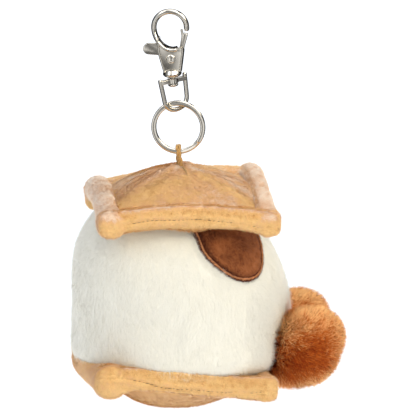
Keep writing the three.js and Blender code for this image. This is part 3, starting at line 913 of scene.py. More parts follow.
def folds(u, v, peak):
    """Folds that fan out from the cord to the panel's seams: their height and their tone, which paints a
    highlight along each crest and shade beside it.
    """
    rise, tone = np.zeros_like(u), np.zeros_like(u)
    ends = [
        (-1, -0.78, 0.75, 0.05), (-1, -0.52, 0.5, 0.035), (-1, -0.28, 0.6, 0.03),
        (-1, -0.04, 0.45, 0.03), (-1, 0.25, 0.5, 0.035), (-1, 0.6, 0.6, 0.045),
        (1, -0.72, 0.5, 0.05), (1, -0.38, 0.7, 0.04), (1, -0.05, 0.4, 0.03),
        (1, 0.3, 0.5, 0.04), (1, 0.7, 0.5, 0.05), (-0.35, -1, 0.3, 0.04), (0.45, 1, 0.5, 0.05),
    ]
    for end_u, end_v, height, width in ends:
        way = np.array([end_u - peak[0], end_v - peak[1]])
        length = math.hypot(*way)
        way = way / length
        run = ((u - peak[0]) * way[0] + (v - peak[1]) * way[1]) / length
        bow = 0.05 * np.sin(run * math.pi) * (1 if end_v < 0 else -1)
        off = (u - peak[0]) * -way[1] + (v - peak[1]) * way[0] + bow
        there = smooth_step(run, 0.02, 0.12) * smooth_step(-run, -1.0, -0.55)
        fan = width * (0.8 + 0.9 * np.clip(run, 0, 1))
        rise += 0.45 * height * there * (hump(off, fan) - 0.7 * hump(off + 1.9 * fan, fan))
        # Painted highlight on the crest and painted shade in the hollow beside it.
        tone += there * (0.2 * hump(off, fan) - 0.12 * hump(off + 1.9 * fan, fan))
    return rise, tone


def from_segment(u, v, start, end):
    """How far points lie from a line between two points."""
    way_u, way_v = end[0] - start[0], end[1] - start[1]
    share = ((u - start[0]) * way_u + (v - start[1]) * way_v) / (way_u**2 + way_v**2)
    share = np.clip(share, 0, 1)
    return np.hypot(u - start[0] - share * way_u, v - start[1] - share * way_v)


PEAK_SPOT = ((PEAK["x"] - TOP["centre"]) / (TOP["side_x"] / 2), PEAK["y"] / (TOP["side_y"] / 2))
SLIT = ((PEAK_SPOT[0] + 0.02, -0.05), (PEAK_SPOT[0] + 0.06, -0.3))


def panel_height(u, v):
    """The top of the upper cracker's middle: a pillow that the cord draws up to a peak."""
    peak = PEAK_SPOT
    rim = rim_height(TOP, u, v)
    rise = PEAK["height"] - rim_height(TOP, np.array(peak[0]), np.array(peak[1])) - 1
    tent = np.maximum(0, 1 - np.hypot(u - peak[0], v - peak[1]))
    pillow = ((1 - np.abs(u) ** 2.6) * (1 - np.abs(v) ** 2.6)) ** 0.8
    over = rim + 1 + rise * lerp(pillow, tent, lerp(PEAK["tent"], 0.58, smooth_step(u, 0.02, 0.3)))
    flat = pad_places(TOP, u, v, rim)
    lumps = 0.25 * waves(flat, 8, 31) + 0.1 * waves(flat, 3, 32)
    dimple = hump(np.hypot(u - peak[0], v - peak[1]), 0.05)
    return over + folds(u, v, peak)[0] + lumps - 1.2 * dimple


def top_panel():
    """The top cracker's middle, with its seams, its folds and the slit at the cord."""
    obj = cushion("top_cracker_panel", 110)
    p = places(obj)
    u, v = p[:, 0] * PAD_SHARE, p[:, 1] * PAD_SHARE
    rim = rim_height(TOP, u, v)
    slit = hump(from_segment(u, v, *SLIT), 0.022)
    over = panel_height(u, v) - 0.6 * slit
    under = rim - 2.4
    at = pad_places(TOP, u, v, np.where(p[:, 2] > 0, over, under))
    walls = np.abs(p[:, 2]) < 0.999
    at[walls, 2] = lerp(under, over, (p[:, 2] + 1) / 2)[walls]
    at = turned(at, TOP["turn"])
    lower = p[:, 2] <= 0
    lifted = outside_body(at, 0.3)
    at[lower] = lifted[lower]
    move_to(obj, at)
    # The folds' tone paints a highlight along each crest and shade beside it.
    tone = np.full(len(at), TAN) + 0.45 * folds(u, v, PEAK_SPOT)[1]
    for start, end, width in (((-0.8, -0.75), (-0.1, -0.5), 0.3), ((0.3, -0.3), (0.95, -0.72), 0.12),
                              ((0.3, 0.3), (0.9, 0.75), 0.2), ((-0.3, 0.25), (-0.8, 0.8), 0.2)):
        tone = lerp(tone, GOLD - 0.02, 0.75 * hump(from_segment(u, v, start, end), width))
    # Painted shade in the slit and in the seams at the front and back edges; a painted highlight along the
    # side edges.
    tone = lerp(tone, DEEP, 0.4 * slit)
    tone = lerp(tone, SEAM, 0.5 * hump(np.abs(u) - 0.885, 0.013))
    tone = lerp(tone, PALE, 0.5 * hump(np.abs(v) - 0.9, 0.03))
    tone = tone + 0.05 * waves(at, 7, 33) + 0.04 * waves(at, 2.5, 34)
    tone = np.where(p[:, 2] > 0, tone, TAN)
    set_tone(obj, tone)
    return softened(tidy_mesh(obj))


def bottom_panel():
    """The bottom cracker's middle, which bulges down to the flat that the toy stands on."""
    obj = cushion("bottom_cracker_panel", 64)
    p = places(obj)
    u, v = p[:, 0] * PAD_SHARE, p[:, 1] * PAD_SHARE
    rim = rim_height(BOTTOM, u, v)
    rest = BULGE["depth"] * BULGE["flat"] ** BULGE["power"]
    away = np.minimum(1, (np.abs(u) ** 2.5 + np.abs(v) ** 2.5) ** 0.4)
    under = np.maximum(0, BULGE["depth"] * away ** BULGE["power"] - rest) * rim / BULGE["depth"]
    over = rim + 0.9
    lumps = 0.25 * waves(pad_places(BOTTOM, u, v, rim), 9, 41) * smooth_step(away, 0.4, 0.6)
    under = np.maximum(under + lumps, 0) + 1
    height = lerp(under, over, (p[:, 2] + 1) / 2)
    at = pad_places(BOTTOM, u, v, height)
    move_to(obj, at)
    tone = np.full(len(at), TAN - 0.12) + 0.04 * waves(at, 7, 42) + 0.03 * waves(at, 2.5, 43)
    # Painted shade: the deep tone where the bulge tucks in under the rolls.
    tone = lerp(tone, DEEP, 0.6 * smooth_step(away, 0.86, 0.97))
    set_tone(obj, tone)
    return softened(tidy_mesh(obj))


# ------------------------------------------------------------------ settings

def colour_setting(name, description, code):
    return FloatVectorProperty(
        name=name, description=description, subtype="COLOR", size=3, min=0, max=1, default=tint(code),
    )


def length_setting(name, description, millimetres):
    return FloatProperty(name=name, description=description, unit="LENGTH", min=0, default=millimetres * MM)


def count_setting(name, description, number):
    return IntProperty(name=name, description=description, min=100, max=200000, default=number)


def power_setting(name, description, watts):
    return FloatProperty(name=name, description=description, unit="POWER", min=0, default=watts)


class MarshmallowSettings(bpy.types.PropertyGroup):
    cream: colour_setting("Cream", "Colour of the marshmallow's plush", "fffbee")
    shade: colour_setting("Shade", "Colour of the plush along its side seams", "e9e4da")
    blush: colour_setting("Blush", "Colour of the faint tint near the front", "f3cdb8")
    pile: length_setting("Pile", "Length of the plush's pile", 2.3)
    blades: count_setting("Blades", "Number of blades of pile", 170000)
    fringe_blades: count_setting("Fringe blades", "Number of longer blades round each drip", 3600)
    fluff_blades: count_setting("Fluff blades", "Number of longer blades beside the feet", 11000)


class CrackerSettings(bpy.types.PropertyGroup):
    # Seam and Deep also serve as painted shade in seams, slits and folds, and Pale as a painted highlight
    # along piping and edges.
    seam: colour_setting("Seam", "Colour deep in the seams", "9a6234")
    deep: colour_setting("Deep", "Colour in the folds", "dc9c56")
    gold: colour_setting("Gold", "Colour where the pile lies down", "fcd48f")
    tan: colour_setting("Tan", "Colour where the pile stands up", "f0c08d")
    pale: colour_setting("Pale", "Colour of the pile along the edges", "ffecd6")
    thread: colour_setting("Thread", "Colour of the stitches in the fold", "8a5733")
    pile: length_setting("Pile", "Length of the plush's pile", 1.5)
    panel_blades: count_setting("Panel blades", "Number of blades of pile on a panel", 70000)
    rim_blades: count_setting("Rim blades", "Number of blades of pile on a cracker's rim", 120000)
    stitch: length_setting("Stitch", "Length of a stitch", 1.5)


class ChocolateSettings(bpy.types.PropertyGroup):
    brown: colour_setting("Brown", "Colour of the plush", "a05c33")
    light: colour_setting("Light brown", "Colour where the pile catches the light", "b97143")
    # Dark is painted shade in the groove and at the turned edge of each drip.
    dark: colour_setting("Dark", "Colour of the turned edge", "4a2110")
    thread: colour_setting("Thread", "Colour of the satin stitch", "c67f4c")
    puff: length_setting("Puff", "How far the middle stands off the body", 1.5)
    stitch: length_setting("Stitch", "Width of the satin stitch", 1.25)
    pile: length_setting("Pile", "Length of the plush's pile", 1.2)
    blades: count_setting("Blades", "Number of blades of pile on each drip", 35000)


class FeetSettings(bpy.types.PropertyGroup):
    deep: colour_setting("Deep", "Colour deep in the fur", "a03c0c")
    middle: colour_setting("Middle", "Main colour of the fur", "c96520")
    tips: colour_setting("Tips", "Colour of the fur's tips", "fbc482")
    fur: length_setting("Fur", "Length of the fur", 5.0)
    strands: count_setting("Strands", "Number of strands on each foot", 55000)


class CordSettings(bpy.types.PropertyGroup):
    yarn: colour_setting("Yarn", "Main colour of the cord", "d39a48")
    # Light is a painted highlight on the raised fibres.
    light: colour_setting("Light", "Colour of the cord's raised fibres", "efc482")
    ply: length_setting("Ply", "Diameter of each twisted ply", 1.12)
    pitch: length_setting("Pitch", "Length of cord in one full twist", 5.2)


class MetalSettings(bpy.types.PropertyGroup):
    nickel: colour_setting("Nickel", "Colour of the plating", "dedad2")
    roughness: FloatProperty(
        name="Roughness", description="Roughness of the plating", min=0, max=1, default=0.13,
    )


class StageSettings(bpy.types.PropertyGroup):
    floor: colour_setting("Floor", "Colour of the floor", "fcfcfc")
    key: power_setting("Key light", "Strength of the main light", 6.6)
    fill: power_setting("Fill light", "Strength of the cool fill", 0.9)
    top: power_setting("Top light", "Strength of the overhead light", 3.6)
    room: FloatProperty(name="Room", description="Strength of the room's own light", min=0, default=0.62)


class SmoreSettings(bpy.types.PropertyGroup):
    marshmallow: PointerProperty(type=MarshmallowSettings)
    cracker: PointerProperty(type=CrackerSettings)
    chocolate: PointerProperty(type=ChocolateSettings)
    feet: PointerProperty(type=FeetSettings)
    cord: PointerProperty(type=CordSettings)
    metal: PointerProperty(type=MetalSettings)
    stage: PointerProperty(type=StageSettings)


# ------------------------------------------------------------------ finishes

def marshmallow_stops(settings):
    return [
        (0.0, opaque(settings.shade)), (0.3, opaque(settings.cream)),
        (0.7, opaque(settings.cream)), (1.0, opaque(settings.blush)),
    ]


def cracker_stops(settings, share=1.0):
    colours = (settings.seam, settings.deep, settings.gold, settings.tan, settings.pale)
    return [(tone, opaque(colour, share)) for tone, colour in zip((SEAM, DEEP, GOLD, TAN, PALE), colours)]


def nickel(settings):
    """Bright plating with a faint orange peel and a little wear in its gloss."""
    found = bpy.data.materials.get("nickel_plating")
    if found:
        return found
    finish = Finish("nickel_plating")
    place = finish.object_place()
    broad = finish.noise(place, 0.003, 2.0)
    fine = finish.noise(place, 0.0004, 3.0)
    stain = finish.ramp(broad, [(0.35, opaque(settings.nickel, 0.93)), (0.65, opaque(settings.nickel))])
    return finish.finished(
        base_color=stain, metallic=1.0,
        roughness=settings.roughness - 0.03 + 0.08 * broad + 0.03 * fine,
        normal=finish.bump(broad + 0.15 * fine, 0.25, 0.00012),
    )


# ------------------------------------------------------------------ operators

class SMORE_OT_marshmallow(bpy.types.Operator):
    """Makes the white plush body, with its side seams and its pile"""

    bl_idname = "smore.marshmallow"
    bl_label = "Marshmallow"

    def execute(self, context):
        settings = context.scene.smore.marshmallow
        stops = marshmallow_stops(settings)
        segments, rings = 160, 110
        body = ball("marshmallow_plush", segments, rings)
        p = places(body)
        ring = np.rint(np.arccos(np.clip(p[:, 2], -1, 1)) / math.pi * rings).astype(int)
        profile = body_profile(rings + 1)[ring]
        angle = np.arctan2(p[:, 1], p[:, 0])
        at = np.stack([
            profile[:, 0] * np.cos(angle) + axis_at(profile[:, 1]),
            profile[:, 0] * np.sin(angle) * BODY["depth_share"],
            profile[:, 1],
        ], -1)
        move_to(body, at)
        inner = profile[:, 0] > 1
        degrees = np.degrees(angle)
        off = np.minimum(np.abs(degrees + 99), np.abs(degrees - 99))
        seam = hump(off, 1.3) * smooth_step(profile[:, 0], 8, 20)
        lumps = 0.3 * waves(at, 22, 1) + 0.12 * waves(at, 8, 2) - 0.15 * seam
        lumps = lumps - 0.9 * smooth_step(at[:, 2], 19, 30)
        at = at + normals_of(body) * (lumps * inner)[:, None]
        at[:, 0] -= 1.5 * smooth_step(at[:, 2], 40, 68) * smooth_step(at[:, 0], 0, 30)
        move_to(body, at)
        blush = hump(np.hypot((np.abs(degrees) - 17) * 0.72, at[:, 2] - 38), 6.5)
        tone = 0.5 + 0.46 * blush - 0.14 * hump(off, 1.1) * inner + 0.04 * waves(at, 9, 3)
        set_tone(body, tone)
        softened(body)
        under = plush("white_plush_backing", stops, 0.9)
        standing = plush("white_plush_pile", stops, 0.9, True, tip=1.04)
        piece(body, "plush", under, ["marshmallow"])

        def cover(points, normals):
            hidden_top = smooth_step(points[:, 2], 77, 80)
            beside = smooth_step(np.abs(points[:, 1]), 22, 30)
            foot = 16 + beside * np.interp(points[:, 0], (-30, -3, 20, 34), (4.2, 3.8, 0.6, 0))
            hidden_foot = smooth_step(foot - points[:, 2], -0.5, 0.5)
            return 1 - np.maximum(hidden_top, hidden_foot)

        def comb(points, normals):
            return np.array([0.3, 0, -1]) + 0.3 * swirl_of(points, 12, 5)

        pelt = pile(
            "marshmallow_pile", body, settings.blades, settings.pile / MM, 0.21, 27, comb, 8, cover,
            tone_spread=0.02, shine=0.12, length_spread=0.55, clumps=0.012,
        )
        piece(pelt, "plush", standing)
        for which, mirror in (("right", 1), ("left", -1)):
            fringe = self.fringe(which, np.array([1, mirror, 1]), body, settings)
            piece(fringe, "plush", standing)
        piece(self.fluff(body, comb, settings), "plush", standing)
        return {"FINISHED"}

    def fluff(self, body, comb, settings):
        """Longer and more upright pile at the front, low down, where the feet press against it."""
        def cover(points, normals):
            front = smooth_step(points[:, 0], 20, 27)
            low = 1 - smooth_step(points[:, 2], 42, 54)
            return front * low * smooth_step(points[:, 2], 16.5, 18)

        return pile(
            "marshmallow_fluff", body, settings.fluff_blades, settings.pile / MM * 1.3, 0.2, 52,
            comb, 10, cover, tone_spread=0.02, shine=0.12, length_spread=0.4, clumps=0.02,
        )

    def fringe(self, which, flip, body, settings):
        """Longer pile round a chocolate drip, which falls over its edge."""
        edge = spline(DRIP["outline"], 300)
        line = on_body(edge[:, 0], edge[:, 1], DRIP["heading"], 0) * flip
        middle = line.mean(axis=0)

        def nearest(points):
            gaps = np.linalg.norm(points[:, None] - line[None], axis=2)
            return gaps.min(axis=1), gaps.argmin(axis=1)

        def cover(points, normals):
            near = (np.abs(points[:, 1] * flip[1] + 30) < 26) & (points[:, 2] > 48)
            weight = np.zeros(len(points))
            gap, at = nearest(points[near])
            outer = np.linalg.norm(points[near] - middle, axis=1) > np.linalg.norm(line[at] - middle, axis=1)
            weight[near] = outer * hump(gap - 0.6, 0.8)
            return weight

        def comb(points, normals):
            inwards = unit(middle - line[nearest(points)[1]])
            return 0.8 * inwards + np.array([0.2, 0, -0.5])

        return pile(
            f"marshmallow_fringe_{which}", body, settings.fringe_blades, settings.pile / MM * 1.05, 0.2, 46,
            comb, 9, cover, tone_spread=0.02, shine=0.12, length_spread=0.4,
        )


class SMORE_OT_crackers(bpy.types.Operator):
    """Makes both tan crackers: stuffed rims, panels, stitches and pile"""

    bl_idname = "smore.crackers"
    bl_label = "Crackers"

    def execute(self, context):
        settings = context.scene.smore.cracker
        # The panels get painted shade: a copy of the tan finish with every colour darkened to 0.93.
        stops, shaded_stops = cracker_stops(settings), cracker_stops(settings, 0.93)
        backing = plush("tan_plush_backing", stops, 0.9)
        standing = plush("tan_plush_pile", stops, 0.76, True, tip=1.2, climb=0.24)
        shaded_backing = plush("shaded_tan_plush_backing", shaded_stops, 0.9)
        shaded_standing = plush("shaded_tan_plush_pile", shaded_stops, 0.76, True, tip=1.2, climb=0.24)
        thread = thread_finish("seam_thread", settings.thread)
        for kind, cracker in (("top_cracker", TOP), ("bottom_cracker", BOTTOM)):
            skin = rim(f"{kind}_rim", cracker)
            piece(skin, "plush", backing, [f"{kind}_roll_{which}" for which in RUNS])
            piece(self.rim_pile(skin, kind, cracker, settings), "plush", standing)
            for which in ("right", "left"):
                stitches = self.stitches(kind, cracker, which, settings)
                piece(stitches, "plush", thread)
            panel = top_panel() if cracker is TOP else bottom_panel()
            piece(panel, "plush", shaded_backing, [f"{kind}_pad"])
            stand = self.panel_pile(panel, kind, cracker, settings)
            piece(stand, "plush", shaded_standing)
        return {"FINISHED"}

    def rim_pile(self, skin, kind, cracker, settings):
        """The pile of a cracker's rim, combed outwards and down."""
        half = np.array([cracker["side_x"], cracker["side_y"]]) / 2

        def outwards(points):
            flat = (turned(points, -cracker["turn"])[:, :2] - (cracker["centre"], 0)) / half
            way = np.column_stack([powered(flat, 7), np.zeros(len(flat))])
            return unit(turned(way, cracker["turn"]))

        def comb(points, normals):
            return 0.5 * outwards(points) + np.array([0.3, 0, -0.6]) + 0.14 * swirl_of(points, 8, 51)

        def cover(points, normals):
            facing = (normals * outwards(points)).sum(-1)
            outer = smooth_step(facing, -0.75, -0.4)
            if cracker is TOP:
                inward = (points[:, 2] < 74) & (facing < -0.3)
                return np.where(inward, 0, np.maximum(outer, smooth_step(normals[:, 2], -0.1, 0.2)))
            return np.maximum(outer, smooth_step(-normals[:, 2], 0.2, 0.6))

        return pile(
            f"{kind}_pile_rim", skin, settings.rim_blades, settings.pile / MM, 0.19, 27, comb, 61, cover,
            tone_spread=0.05, shine=0.25, clumps=0.055,
        )

    def panel_pile(self, panel, kind, cracker, settings):
        """The pile of a panel's outer side."""
        side = 1 if cracker is TOP else -1

        def comb(points, normals):
            away = points * np.array([1, 1, 0]) / 40
            return away + np.array([0.3, -0.2, 0]) + 0.18 * swirl_of(points, 10, 54)

        def cover(points, normals):
            return smooth_step(side * normals[:, 2], 0.1, 0.3)

        count = settings.panel_blades if cracker is TOP else settings.panel_blades * 2 // 3
        return pile(
            f"{kind}_pile_panel", panel, count, settings.pile / MM, 0.19, 25, comb, 62, cover,
            tone_spread=0.05, shine=0.25, clumps=0.06,
        )

    def stitches(self, kind, cracker, which, settings):
        """The short stitches that show in the fold of a side roll."""
        places_sewn, thread_radius = 34, 0.11
        along = np.linspace(-0.93, 0.93, places_sewn)
        rng = np.random.default_rng(71 if cracker is TOP else 72)
        shown = waves(along[:, None] * np.array([[30.0, 0, 0]]), 5, 73) > -0.35
        along = along[shown]
        count = len(along)
        along = along + rng.normal(scale=0.006, size=count)
        line = band_line(cracker, along)
        level = np.zeros(count)
        sunk = rng.uniform(-0.4, -0.02, count)
        tilt = rng.normal(scale=0.03, size=count)
        centre = roll_points(cracker, which, along, level, line, sunk)
        ahead = roll_points(cracker, which, along + 0.01, level, line, sunk + tilt)
        deeper = roll_points(cracker, which, along, level, line, level - 3)
        centre, ahead, deeper = (turned(x, cracker["turn"]) for x in (centre, ahead, deeper))
        thick = np.full(count, thread_radius)
        sizes = np.column_stack([settings.stitch / MM / 2 * rng.uniform(0.4, 1.2, count), thick, thick])
        thread = ball("thread", 6, 5)
        return copied(
            f"{kind}_stitches_{which}", thread, centre, ahead - centre, centre - deeper, sizes)


def thread_finish(name, colour, patch=0.0003):
    """Sewing thread: streaks of a given size and a slight gloss."""
    finish = Finish(name)
    place = finish.object_place()
    streak = finish.noise(place, patch, 3.0, 0.4)
    shade = finish.ramp(streak, [(0.3, opaque(colour, 0.5)), (0.7, opaque(colour, 1.25))])
    return finish.finished(
        base_color=shade, roughness=0.55, sheen_weight=0.15, specular_ior_level=0.35,
        normal=finish.bump(streak, 0.5, 0.0001),
    )


class SMORE_OT_chocolate(bpy.types.Operator):
    """Makes the two brown drips, edged with satin stitch"""

    bl_idname = "smore.chocolate"
    bl_label = "Chocolate drips"

    def execute(self, context):
        settings = context.scene.smore.chocolate
        stops = [
            (0.0, opaque(settings.dark)), (0.3, opaque(settings.dark, 1.4)),
            (0.55, opaque(settings.brown)), (1.0, opaque(settings.light)),
        ]
        backing = plush("chocolate_plush_backing", stops, 0.8, sheen=0.1)
        standing = plush("chocolate_plush_pile", stops, 0.7, True, tip=1.15, sheen=0.12)
        thread = thread_finish("chocolate_thread", settings.thread, 0.0008)
        outline = spline(DRIP["outline"], 240)
        for which, mirror in (("right", 1), ("left", -1)):
            flip = np.array([1, mirror, 1])
            drip = self.drip(f"chocolate_drip_{which}", outline, settings, flip)
            piece(drip, "plush", backing, [f"chocolate_{which}"])

            def comb(points, normals):
                return np.array([0.2, 0, -1]) + 0.4 * swirl_of(points, 7, 81)

            def cover(points, normals):
                return np.where(normals[:, 1] * -mirror > 0.1, 1.0, 0.0)

            stand = pile(
                f"chocolate_pile_{which}", drip, settings.blades, settings.pile / MM, 0.16, 24,
                comb, 84, cover, tone_spread=0.2, shine=0.35, clumps=0.09,
            )
            piece(stand, "plush", standing)
            stitches = self.stitches(f"chocolate_stitches_{which}", outline, settings, flip)
            piece(stitches, "plush", thread)
        return {"FINISHED"}

    def place_on_body(self, outline_points, out, flip):
        across, height = outline_points[:, 0], outline_points[:, 1]
        return on_body(across, height, DRIP["heading"], out) * flip

    def drip(self, name, outline, settings, flip):
        """The padded patch: its front puffs out from its edge, and its back lies on the body."""
        segments, rings = 200, 64
        obj = ball(name, segments, rings)
        p = places(obj)
        closed = np.vstack([outline, outline[:1]])
        loop = evenly(closed, segments + 1)[:-1]
        angle = np.arctan2(p[:, 1], p[:, 0])
        index = np.rint(angle / (2 * math.pi) * segments).astype(int) % segments
        polar = np.arccos(np.clip(p[:, 2], -1, 1))
        share = np.sin(polar)
        share = np.where(share > 0.9999, 1, share)
        middle = np.array(DRIP["middle"])
        flat = middle + (loop[index] - middle) * share[:, None]
        front = p[:, 2] > 1e-6
        gap = distance_inside(flat, outline)
        lift = settings.puff / MM * (1 - np.exp(-np.maximum(gap, 0) / 0.55))
        lift = lift - 0.6 * hump(gap - DRIP["groove"], 0.5)
        out = np.where(front, lift - DRIP["edge"], -0.6)
        at = self.place_on_body(flat, out, flip)
        move_to(obj, at)
        tone = 0.62 + 0.08 * waves(at, 6, 85) + 0.05 * waves(at, 2, 86) + 0.014 * (flat[:, 0] - 3)
        # Painted shade: the edge band darkens over the groove inside the stitches, darker still at the turned
        # edge.
        tone = lerp(tone, 0.12, 1 - smooth_step(gap, 2.0, 3.1))
        tone = lerp(tone, 0.06, 1 - smooth_step(gap, 0.25, 0.6))
        set_tone(obj, np.where(front, tone, 0.1))
        return softened(tidy_mesh(obj))

    def stitches(self, name, outline, settings, flip):
        """Satin stitch along the drip's edge: threads side by side, a little inside it."""
        line = evenly(outline, DRIP["threads"])
        way = unit(np.gradient(line, axis=0))
        inwards = np.stack([-way[:, 1], way[:, 0]], -1)
        width = settings.stitch / MM
        middle = line + inwards * (DRIP["edge"] + width / 2)
        shown = middle[:, 1] < 78
        middle, inwards = middle[shown], inwards[shown]
        rise = settings.puff / MM * 0.72 - DRIP["edge"]
        centre = self.place_on_body(middle, rise, flip)
        inner = self.place_on_body(middle + inwards * 0.3 + 0.35 * way[shown], rise + 0.05, flip)
        above = self.place_on_body(middle, rise + 1, flip)
        rng = np.random.default_rng(87)
        each = len(centre)
        thread = ball("thread", 8, 6)
        sizes = np.column_stack([
            width / 2 * rng.uniform(0.9, 1.35, each), rng.uniform(0.28, 0.38, each),
            rng.uniform(0.36, 0.62, each),
        ])
        return copied(name, thread, centre, inner - centre, above - centre, sizes)


def distance_inside(points, outline):
    """How far points lie inside an open outline, in its own plane."""
    best = np.full(len(points), np.inf)
    dense = evenly(outline, 600)
    for start in range(0, len(points), 2000):
        part = points[start:start + 2000]
        gaps = np.hypot(*(part[:, None] - dense[None]).transpose(2, 0, 1))
        best[start:start + 2000] = gaps.min(axis=1)
    return best


class SMORE_OT_feet(bpy.types.Operator):
    """Makes the two furry feet"""

    bl_idname = "smore.feet"
    bl_label = "Feet"

    def execute(self, context):
        settings = context.scene.smore.feet
        stops = [
            (0.0, opaque(settings.deep, 0.8)), (0.3, opaque(settings.deep)),
            (0.62, opaque(settings.middle)), (1.0, opaque(settings.tips)),
        ]
        backing = plush("orange_fur_backing", stops, 0.6, sheen=0.1)
        standing = plush("orange_fur_pile", stops, 0.75, True, tip=1.25, sheen=0.04, climb=0.8)
        fur_depth = 3.3
        for which, sign in (("right", -1), ("left", 1)):
            foot = ball(f"foot_{which}_plush", 64, 44)
            p = places(foot)
            half = np.array(FOOT["half"]) - fur_depth
            wide = np.hypot(p[:, 0], p[:, 2])
            power = FOOT["square"]
            corner = (np.abs(p[:, 0]) ** power + np.abs(p[:, 2]) ** power) ** (1 / power)
            fuller = np.where(wide > 1e-6, wide / np.maximum(corner, 1e-9), 1)
            at = p * half * (1 + 0.03 * waves(p * 12, 9, 91 + sign))[:, None]
            at = at * fuller[:, None] ** np.array([1, 0, 1])
            at[:, 0] += FOOT["lean"] * at[:, 2]
            at = turned(at, sign * FOOT["splay"]) + np.array(FOOT[which])
            at = outside_body(at, 0.2)
            move_to(foot, at)
            # Painted light and shade: the crown is lighter on top, the rim round the outline paler as a
            # painted highlight, the low back darker as painted shade, and the inner side towards the body
            # lighter against the shade there.
            crown = smooth_step(p[:, 2], -0.3, 1)
            edge = 1 - np.abs(p[:, 1]) ** 1.6
            low = smooth_step(-p[:, 0], -0.2, 0.7) * smooth_step(-p[:, 2], -0.5, 0.5)
            inner = smooth_step(-p[:, 0], 0.35, 0.9) * smooth_step(p[:, 2], -0.7, 0)
            tone = 0.17 + 0.64 * edge + 0.14 * crown - 0.1 * low + 0.1 * inner
            tone = tone + 0.06 * waves(at, 7, 92) + 0.05 * waves(at, 3, 93)
            set_tone(foot, tone)
            softened(foot)
            piece(foot, "plush", backing, [f"foot_{which}"])

            def comb(points, normals):
                parting = np.array(FOOT[which]) + FOOT["parting"]
                away = (points - parting) / FOOT["half"][0] * (1, 0, 1)
                return 0.9 * away + np.array([0.2, 0.1 * sign, -0.25]) + 0.45 * swirl_of(points, 6, 94)

            def cover(points, normals):
                into_body = np.abs(outside_body(points, 1.0) - points).sum(-1) > 1e-6
                return np.where(into_body, 0.001, 1.0)

            stand = pile(
                f"foot_{which}_fur", foot, settings.strands, settings.fur / MM, 0.3, 56, comb,
                97 + sign, cover, joints=2, droop=0.35, tone_spread=0.09, length_spread=0.6, shine=0.4,
                clumps=0.075,
            )
            piece(stand, "plush", standing)
        return {"FINISHED"}


class SMORE_OT_cord_loop(bpy.types.Operator):
    """Makes the twisted cord loop that the ring hangs in"""

    bl_idname = "smore.cord_loop"
    bl_label = "Cord loop"

    def execute(self, context):
        settings = context.scene.smore.cord
        aside = RING["coil"] + 0.3 + CORD_THICK / 2 + 0.12
        over = RING["centre"][2] - RING["outer"] + RING["band"] + 0.3 + CORD_THICK / 2
        into = PEAK["height"] - 3.4
        route = [
            (1.2, -0.8, into), (1.1, -1.3, PEAK["height"] + 0.4), (0.4, -aside, over - 2.7),
            (0.2, -aside * 0.98, over - 1), (0.1, -aside * 0.66, over + 0.05), (0, 0, over + 0.24),
            (-0.1, aside * 0.66, over + 0.05), (-0.2, aside * 0.98, over - 1),
            (-0.3, aside, over - 2.7), (-0.3, 1.3, PEAK["height"] + 0.4), (-0.3, 0.8, into),
        ]
        line = spline(route, 260)
        run = np.linspace(0, np.linalg.norm(np.diff(line, axis=0), axis=1).sum(), len(line))
        way = unit(np.gradient(line, axis=0))
        wide = unit(np.array([1.0, 0, 0]) - way * way[:, :1])
        thick = np.cross(way, wide)
        ply = settings.ply / MM
        plies = []
        for k in range(2):
            angle = run / (settings.pitch / MM) * 2 * math.pi + k * math.pi
            near_top = smooth_step(line[:, 2], PEAK["height"] + 1, over)
            reach = lerp(0.36, 0.58, near_top)[:, None]
            path = line + wide * np.cos(angle)[:, None] * reach + thick * np.sin(angle)[:, None] * 0.22
            section = circle(ply / 2, 14) * (1, 0.86)
            plies.append(tube(f"ply_{k}", path, section, first=(0, 1, 0.2)))
        cord = united("cord_loop", plies)
        at = turned(places(cord), RING["turn"]) + np.array([RING["centre"][0], 0, 0])
        move_to(cord, at)
        softened(tidy_mesh(cord))
        piece(cord, "plush", yarn(settings), ["hanging_loop"])
        piece(self.tail(ply), "plush", yarn(settings))
        return {"FINISHED"}

    def tail(self, ply):
        """The cord's end, which is sewn down on the panel and goes into the slit."""
        share = np.linspace(0, 1, 30)
        u, v = lerp(SLIT[0][0], SLIT[1][0], share), lerp(SLIT[0][1], SLIT[1][1], share)
        height = panel_height(u, v) + 0.45 * np.sin(share * math.pi) ** 0.5 - 0.35
        line = turned(pad_places(TOP, u, v, height), TOP["turn"])
        return softened(tube("cord_tail", line, circle(ply * 0.4, 12), 1 - 0.5 * share, first=(1, 0, 0)))


def yarn(settings):
    """Twisted yarn: fibres that slant round each ply, painted darker in the grooves between them as painted
    shade and lighter on the raised fibres as a painted highlight.
    """
    found = bpy.data.materials.get("golden_yarn")
    if found:
        return found
    finish = Finish("golden_yarn")
    spot = finish.node("ShaderNodeUVMap", {"uv_map": "UVMap"})
    along = finish.node("ShaderNodeSeparateXYZ", None, {"Vector": spot}, "X")
    around = finish.node("ShaderNodeSeparateXYZ", None, {"Vector": spot}, "Y")
    slant = finish.node(
        "ShaderNodeCombineXYZ", None, {"X": along * 34 + around * 2, "Y": along * 1.5, "Z": 0.0})
    strand = finish.node(
        "ShaderNodeTexWave", {"bands_direction": "X"},
        {"Vector": slant, "Scale": 1.0, "Distortion": 1.2, "Detail": 2.0}, "Fac")
    fuzz = finish.noise(finish.object_place(), 0.00025, 2.0)
    # Painted shade and highlight: the yarn darkens to 0.45 in the grooves between fibres and turns light on
    # their raised crests.
    colour = finish.ramp(
        0.75 * strand + 0.25 * fuzz,
        [(0.1, opaque(settings.yarn, 0.45)), (0.45, opaque(settings.yarn)), (0.9, opaque(settings.light))],
    )
    return finish.finished(
        base_color=colour, roughness=0.7, sheen_weight=0.2, specular_ior_level=0.3,
        normal=finish.bump(strand + 0.4 * fuzz, 0.7, 0.0002),
    )


